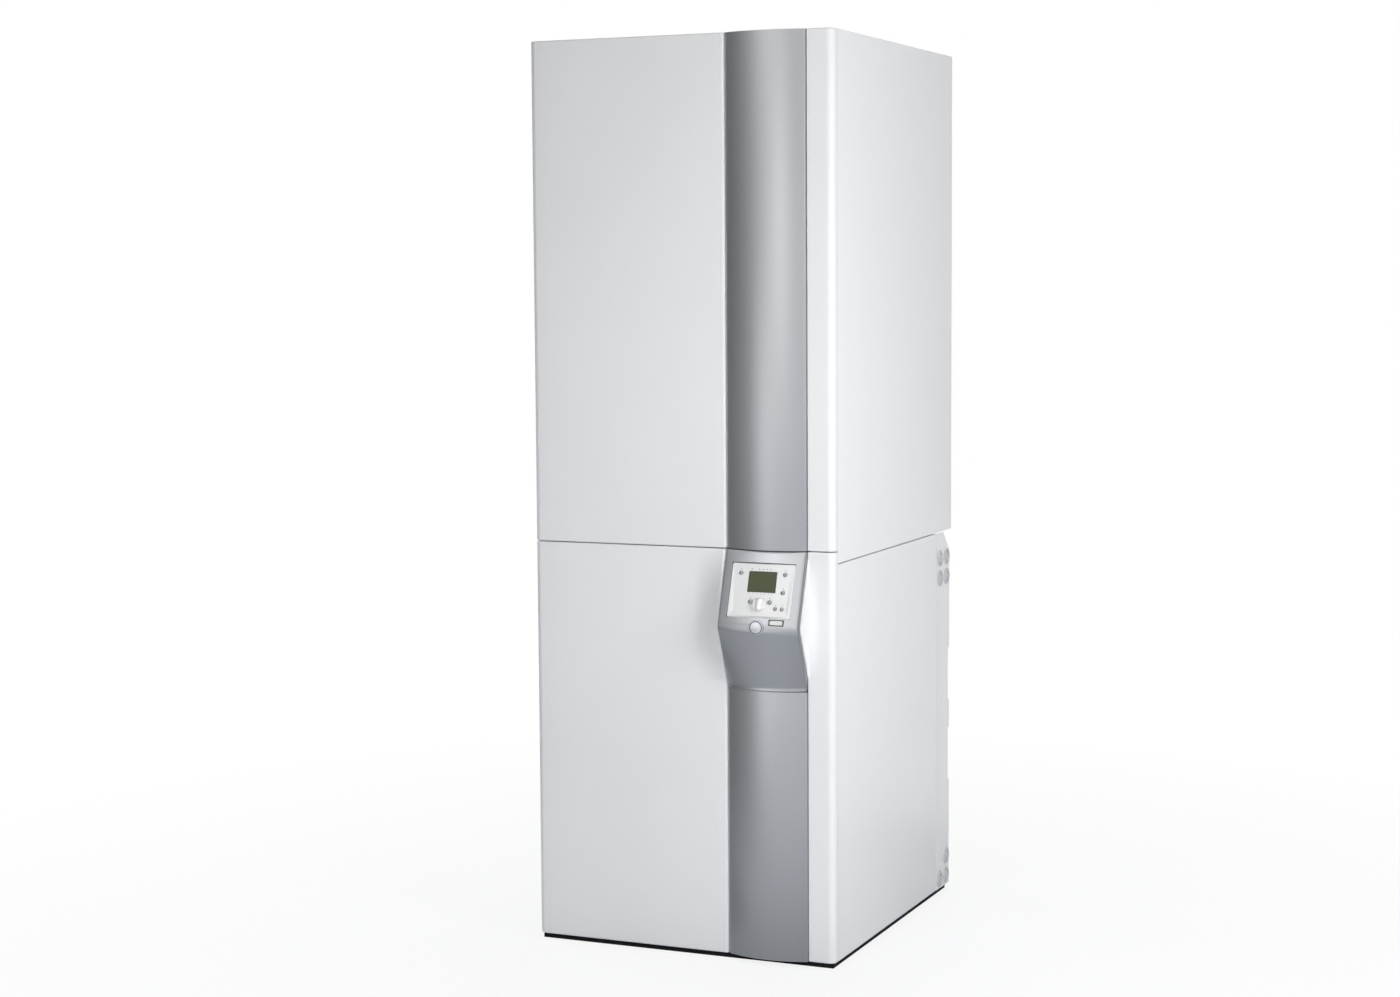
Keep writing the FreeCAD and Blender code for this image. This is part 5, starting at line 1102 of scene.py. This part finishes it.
class HEATPUMP_OT_fittings(bpy.types.Operator):
    """Makes the grommets, screws, threaded stubs and cable glands"""
    bl_idname = "heatpump.fittings"
    bl_label = "Fittings"

    def execute(self, context):
        self.grommets()
        self.screws()
        self.stubs()
        self.glands()
        return {"FINISHED"}

    def grommets(self):
        """Rubber plugs: a rounded flange, a deep groove and a domed middle."""
        low, high = corners("side_grommets")
        radius, pitch = 18 * MM, 44 * MM
        near, far = low[1] + radius, high[1] - radius
        top, foot = high[2] - radius, low[2] + radius
        spots = [(near, top), (far, top), (near, top - pitch), (far, top - pitch),
                 (near, foot), (far, foot), (far, foot + pitch)]
        profile = np.array([(15, -2), (15, 0), (18, 0), (18, 1.2), (17.4, 2.3), (16, 2.9), (14, 3),
                            (12.6, 2.6), (11.8, 0.4), (11, -1), (9.8, -1), (8.8, 1.2), (7.4, 2.2),
                            (4, 2.6), (0, 2.75)]) * MM
        plugs = [lathed(facing(side, (x, y, z)), profile, 40, capped=True)
                 for side, x in (("right", SIDE), ("left", -SIDE)) for y, z in spots]
        make_piece("rubber_grommets", plugs, "grommet_rubber", CASING,
                   ["side_grommets"])

    def screws(self):
        """Pan head screws: a domed head with a socket."""
        profile = np.array([(2, -2), (2, 0), (4.5, 0), (4.5, 1), (4, 1.8), (3, 2.3), (1.9, 2.5),
                            (1.7, 1.2), (0, 1.1)]) * MM
        heads = []
        for half, foot_edge in (("upper", 15 * MM), ("lower", 54 * MM)):
            low, high = corners(f"rear_panel_{half}")
            edge = 15 * MM
            foot, top = low[2] + foot_edge, high[2] - edge
            for x in (low[0] + edge, high[0] - edge):
                heads += [lathed(facing("back", (x, high[1], z)), profile, 24, capped=True)
                          for z in (foot, (foot + top) / 2, top)]
        make_piece("panel_screws", heads, "zinc_plate", CASING, ["casing_screws"])

    def stubs(self):
        """Pipe nipples whose wall is a thread.

        The radius swings with the height over the pitch less the share of a turn.
        """
        pitch, depth, radius, bore = 2.3 * MM, 1.1 * MM, 16.6 * MM, 12 * MM
        flange, start, sunk, least_pin_mm = 24 * MM, 6 * MM, -2 * MM, 15
        first, last, bevel = 1.5 * MM, 0.8 * MM, 0.8 * MM
        root, end_root = 0.6 * MM, 1.6 * MM
        share = circle(72) / (2 * math.pi)
        sheets = []
        for mount in frame["record"]["mounts"]:
            if mount["kind"] != "pin" or mount["dims"]["r_mm"] < least_pin_mm:
                continue
            x, y, z = mount["pos_m"]
            long = mount["dims"]["length_mm"] * MM
            end = start + long
            height = np.linspace(start + first, end - last, 110)
            wave = np.abs(((height[:, None] / pitch - share) % 1.0) * 2 - 1)
            collar = [(bore, sunk), (radius, sunk), (radius, 0.0), (flange, 0.0),
                      (flange, start - bevel), (flange - bevel, start), (radius - root, start)]
            points = np.concatenate([
                turned_profile(collar, len(share)), rings(radius - depth * wave, height),
                turned_profile([(radius - end_root, end), (bore, end)], len(share))])
            sheets.append(hoop(facing("back", (x, y - long / 2 - start, z)), points))
        make_piece("pipe_nipples", sheets, "brass", CASING, ["connection_stubs"])

    def glands(self):
        """Cable glands: a six-sided nut and a ribbed dome cap."""
        low, high = corners("cable_glands")
        reach = 17 * MM * math.cos(math.pi / 6)
        across_flats, ribs, rib_depth, seat_depth = 14.7 * MM, 16, 0.02, 2 * MM
        angle = circle(48)
        flat = across_flats / np.cos((angle + math.pi / 6) % (math.pi / 3) - math.pi / 6)
        ribbed = 1 - rib_depth * (np.cos(ribs * angle) > 0)
        cap = np.array([12.8, 12.8, 11.6]) * MM
        points = np.concatenate([
            turned_profile(np.array([(6, -2), (13, -2), (13, 0)]) * MM, len(angle)),
            rings(flat * np.array([[1.0], [1.0], [0.96]]), np.array([0, 5.4, 6]) * MM),
            rings(cap[:, None] * ribbed, np.array([6, 15, 18]) * MM),
            turned_profile(np.array([(9, 20), (6, 20)]) * MM, len(angle))])
        x, y = (low[0] + high[0]) / 2, low[1] + seat_depth
        sheets = [hoop(facing("back", (x, y, z)), points)
                  for z in (low[2] + reach, high[2] - reach)]
        make_piece("cable_entries", sheets, "black_plastic", CASING,
                   ["cable_glands"])


NODE_FINISHES = {
    "white_coat": ("right_connection_strip", "left_connection_strip"),
    "black_paint": ("base_tray", "levelling_feet"),
    "zinc_plate": ("frame_posts", "module_deck", "exchanger_stands", "control_box"),
    "black_enamel": ("compressor",),
    "black_rubber": ("compressor_mounts",),
    "stainless": ("evaporator", "condenser", "booster_heater", "water_tank", "brine_pump_rotor",
                  "heating_pump_rotor"),
    "copper": ("filter_drier", "discharge_line", "suction_line", "liquid_lines", "brine_pipes",
               "heating_pipes", "tap_water_pipes"),
    "brass": ("expansion_valve",),
    "cast_iron": ("brine_pump_housing", "heating_pump_housing"),
    "grey_plastic": ("diverter_valve",),
    "gear_plastic": ("switchgear",),
    "foam": ("tank_insulation",),
    "light_alloy": ("anode_rod",),
    "board_green": ("control_board",),
}


class HEATPUMP_OT_inner_parts(bpy.types.Operator):
    """Gives the frame and the inner parts, which keep their own solids, their finishes"""
    bl_idname = "heatpump.inner_parts"
    bl_label = "Frame and inner parts"

    def execute(self, context):
        for finish, nodes in NODE_FINISHES.items():
            for name in nodes:
                thing = frame["nodes"][name]
                if not thing.material_slots:
                    thing.data.materials.append(FINISH[finish])
                for slot in thing.material_slots:
                    slot.material = FINISH[finish]
        return {"FINISHED"}


# Stage

COOL = (0.965, 1.0, 1.055)
WARM = (1.02, 1.0, 0.96)
FLOOR_REACH = 30.0
LIFT = 0.002

# Boards that only reflections see: painted reflections, bright ones for highlights and dark ones for dark
# surroundings
# Name, two opposite corners, axis of the gradient, place and level at its two ends, and any tint
CARDS = (
    ("left_card", (-2.5, -6, 1.0), (-2.5, 3, 5), "Y", (-0.5, 0.06), (-6.0, 0.60)),
    ("left_low_card", (-2.5, -6, -0.5), (-2.5, 3, 1.0), "Y", (-0.5, 0.11), (-6.0, 0.78)),
    # Painted shade: the floor cards show the floor darker in reflections, most near the unit's foot and out to its
    # left
    ("left_floor_card", (-4, -6, LIFT), (-0.05, -0.6, LIFT), "X", (-2, 0.06), (-0.05, 0.62), COOL),
    ("left_foot_card", (-4, -0.6, LIFT), (-0.05, 1, LIFT), "X", (-2.0, 0.05), (-0.05, 0.22), COOL),
    ("floor_card", (-0.05, -6, LIFT), (5, 1, LIFT), "Y", (-0.3, 0.33), (-1.4, 0.70), COOL),
    ("low_card", (-1.75, -3.4, 0.05), (-0.55, -3.4, 0.95), "Z", (0.3, 1.5), (0.85, 2.2)),
    ("front_card", (-0.5, -3.4, 0.95), (0.38, -3.4, 2.3), "X", (-0.5, 0.9), (0.1, 2.3), WARM),
    ("high_card", (-4.6, -10, 5.6), (-3.3, -10, 9.2), "X", (-4.6, 8.6), (-3.3, 9.2)),
    ("far_card", (-7, -9.9, 3.2), (5, -9.9, 5.5), "Z", (3.2, 0.5), (4.2, 0.3), WARM),
    ("top_card", (-2.0, -3.0, 3.2), (0.6, -1.0, 3.2), "X", (-2.0, 1.0), (0.0, 1.9)),
    ("right_card", (3.0, -2.2, -0.5), (3.0, 2.5, 4.0), "Y", (2.5, 0.6), (-2.2, 0.25)),
)

# Name, property that holds its power, place, target and size
LAMPS = (
    ("key_lamp", "key", (2.1, -1.25, 1.4), (0.3, 0.0, 1.1), (1.0, 1.6)),
    ("front_lamp", "fill", (0.3, -2.1, 1.1), (0.1, -0.3, 1.0), (1.4, 1.4)),
    ("left_lamp", "left", (-2.5, 0.7, 1.7), (-0.3, 0.2, 1.0), (1.2, 1.6)),
    ("rear_lamp", "rear", (-0.2, 2.3, 3.2), (0.0, 0.2, 1.3), (1.4, 1.4)),
)


def seen_directly(tree):
    """One where the camera, a mirror or glass looks at a surface, and 0 where it only lights."""
    path = put(tree, "LightPath").outputs
    first = reckon(tree, "MAXIMUM", path["Is Camera Ray"], path["Is Glossy Ray"])
    return reckon(tree, "MAXIMUM", first, path["Is Transmission Ray"])


def aim(thing, place, across, up, back):
    """Puts a lamp or a camera at a place, with its own three axes along the given directions."""
    axes = np.stack([across, up, back], axis=1)
    thing.matrix_world = Matrix.Translation(place) @ Matrix(axes.tolist()).to_4x4()


class HEATPUMP_OT_stage(bpy.types.Operator):
    """Makes the floor, the lamps, the cards that the metal reflects, the surround and the camera"""
    bl_idname = "heatpump.stage"
    bl_label = "Stage"

    def execute(self, context):
        scene = context.scene
        stage = scene.heatpump_stage
        scene.view_settings.view_transform = "Standard"
        self.surround(scene, stage)
        self.floor(scene.heatpump_finishes)
        for row in CARDS:
            self.card(*row)
        for name, power, place, target, size in LAMPS:
            self.lamp(name, getattr(stage, power), place, target, size)
        self.camera(scene, stage)
        return {"FINISHED"}

    def surround(self, scene, stage):
        """A world that looks white and lights softly."""
        scene.world = bpy.data.worlds.new("studio")
        scene.world.use_nodes = True
        tree = scene.world.node_tree
        tree.nodes.clear()
        soft, white = (put(tree, "Background", {"Color": (1, 1, 1, 1), "Strength": strength})
                       for strength in (stage.ambient, 1.0))
        mixed = put(tree, "MixShader",
                    {0: seen_directly(tree), 1: soft.outputs[0], 2: white.outputs[0]})
        put(tree, "OutputWorld", {"Surface": mixed.outputs[0]})

    def plane(self, name, material, low, high):
        """An upright or level rectangle between two opposite corners."""
        first, second = [axis for axis in range(3) if low[axis] != high[axis]]
        points = np.array([low] * 4, float)
        points[1:3, first] = high[first]
        points[2:, second] = high[second]
        mesh = bpy.data.meshes.new(name)
        mesh.from_pydata(points.tolist(), [], [(0, 1, 2, 3)])
        mesh.materials.append(material)
        thing = add(name, mesh)
        return thing

    def floor(self, look):
        """A pale floor that keeps a soft shadow near the object and fades to white further out."""
        tree = new_material("studio_floor")
        place = put(tree, "TexCoord").outputs["Object"]
        tone = ramp(tree, noise(tree, place, 0.8), look.floor, 0.01)
        plain = put(tree, "BsdfDiffuse", {"Color": tone})
        glow = put(tree, "Emission", {"Strength": 1.0})
        away = put(tree, "VectorMath", {0: place}, operation="LENGTH")
        fade = remap(tree, away.outputs["Value"], 0.5, 2.2, 0.84, 1.0)
        share = reckon(tree, "MULTIPLY", seen_directly(tree), fade)
        mixed = put(tree, "MixShader", {0: share, 1: plain.outputs[0], 2: glow.outputs[0]})
        put(tree, "OutputMaterial", {"Surface": mixed.outputs[0]})
        self.plane("floor", FINISH["studio_floor"], (-FLOOR_REACH, -FLOOR_REACH, 0),
                   (FLOOR_REACH, FLOOR_REACH, 0))

    def card(self, name, low, high, axis, near, far, tint=(1.0, 1.0, 1.0)):
        """A board that only reflections see, a painted reflection. Its level runs evenly along an axis, in one
        tint.
        """
        tree = new_material(name)
        place = put(tree, "TexCoord").outputs["Object"]
        apart = put(tree, "SeparateXYZ", {"Vector": place})
        level = remap(tree, apart.outputs[axis], near[0], far[0], near[1], far[1])
        shade = put(tree, "VectorMath", {0: tint, "Scale": level}, operation="SCALE")
        glow = put(tree, "Emission", {"Color": shade.outputs[0]})
        put(tree, "OutputMaterial", {"Surface": glow.outputs[0]})
        thing = self.plane(name, FINISH[name], low, high)
        for kind in ("camera", "diffuse", "shadow", "transmission", "volume_scatter"):
            setattr(thing, "visible_" + kind, False)

    def lamp(self, name, power, place, target, size):
        """A soft rectangular lamp that looks at a target and that reflections don't see."""
        data = bpy.data.lights.new(name, "AREA")
        data.shape = "RECTANGLE"
        data.energy = power
        data.size, data.size_y = size
        thing = add(name, data)
        away = np.array(place) - np.array(target)
        away /= np.linalg.norm(away)
        across = np.cross((0.0, 0.0, 1.0), away)
        across /= np.linalg.norm(across)
        aim(thing, place, across, np.cross(away, across), away)
        thing.visible_glossy = False

    def camera(self, scene, stage):
        """The camera that takes the photograph's view: turned, pitched, then leaned."""
        data = bpy.data.cameras.new("photo_camera")
        data.lens = stage.lens
        data.sensor_width = 36.0
        data.sensor_fit = "HORIZONTAL"
        thing = add("photo_camera", data)
        right = np.array([math.cos(stage.azimuth), math.sin(stage.azimuth), 0.0])
        ahead = np.array([-math.sin(stage.azimuth), math.cos(stage.azimuth), 0.0])
        upward = np.array([0.0, 0.0, 1.0])
        look = ahead * math.cos(stage.pitch) - upward * math.sin(stage.pitch)
        level = upward * math.cos(stage.pitch) + ahead * math.sin(stage.pitch)
        leaned = right * math.cos(stage.roll) + level * math.sin(stage.roll)
        raised = level * math.cos(stage.roll) - right * math.sin(stage.roll)
        aim(thing, stage.eye, leaned, raised, -look)
        scene.camera = thing


PROPERTY_GROUPS = {
    "heatpump_casing": CasingSizes,
    "heatpump_console": ConsoleSizes,
    "heatpump_controls": ControlSizes,
    "heatpump_finishes": Finishes,
    "heatpump_stage": StageSettings,
}

OPERATORS = (
    HEATPUMP_OT_finishes,
    HEATPUMP_OT_front_panels,
    HEATPUMP_OT_columns,
    HEATPUMP_OT_console,
    HEATPUMP_OT_control_unit,
    HEATPUMP_OT_knob_and_keys,
    HEATPUMP_OT_switch_and_badge,
    HEATPUMP_OT_casing_panels,
    HEATPUMP_OT_fittings,
    HEATPUMP_OT_inner_parts,
    HEATPUMP_OT_stage,
)


class HEATPUMP_PT_panel(bpy.types.Panel):
    """Lists the pieces and the stage in the sidebar"""
    bl_idname = "HEATPUMP_PT_panel"
    bl_label = "Heat pump"
    bl_space_type = "VIEW_3D"
    bl_region_type = "UI"
    bl_category = "Heat pump"

    def draw(self, context):
        for operator in OPERATORS:
            self.layout.operator(operator.bl_idname)
        for name, group in PROPERTY_GROUPS.items():
            self.layout.label(text=group.__name__)
            for key in group.__annotations__:
                self.layout.prop(getattr(context.scene, name), key)


CLASSES = (*PROPERTY_GROUPS.values(), *OPERATORS, HEATPUMP_PT_panel)


def register():
    """Registers the classes and gives every scene its properties."""
    for kind in CLASSES:
        bpy.utils.register_class(kind)
    for name, group in PROPERTY_GROUPS.items():
        setattr(bpy.types.Scene, name, PointerProperty(type=group))


def unregister():
    """Takes back what register does."""
    for name in PROPERTY_GROUPS:
        delattr(bpy.types.Scene, name)
    for kind in reversed(CLASSES):
        bpy.utils.unregister_class(kind)


def main():
    """Builds every piece and the stage."""
    register()
    bpy.ops.heatpump.finishes()
    bpy.ops.heatpump.front_panels()
    bpy.ops.heatpump.columns()
    bpy.ops.heatpump.console()
    bpy.ops.heatpump.control_unit()
    bpy.ops.heatpump.knob_and_keys()
    bpy.ops.heatpump.switch_and_badge()
    bpy.ops.heatpump.casing_panels()
    bpy.ops.heatpump.fittings()
    bpy.ops.heatpump.inner_parts()
    bpy.ops.heatpump.stage()


if __name__ == "__main__":
    main()
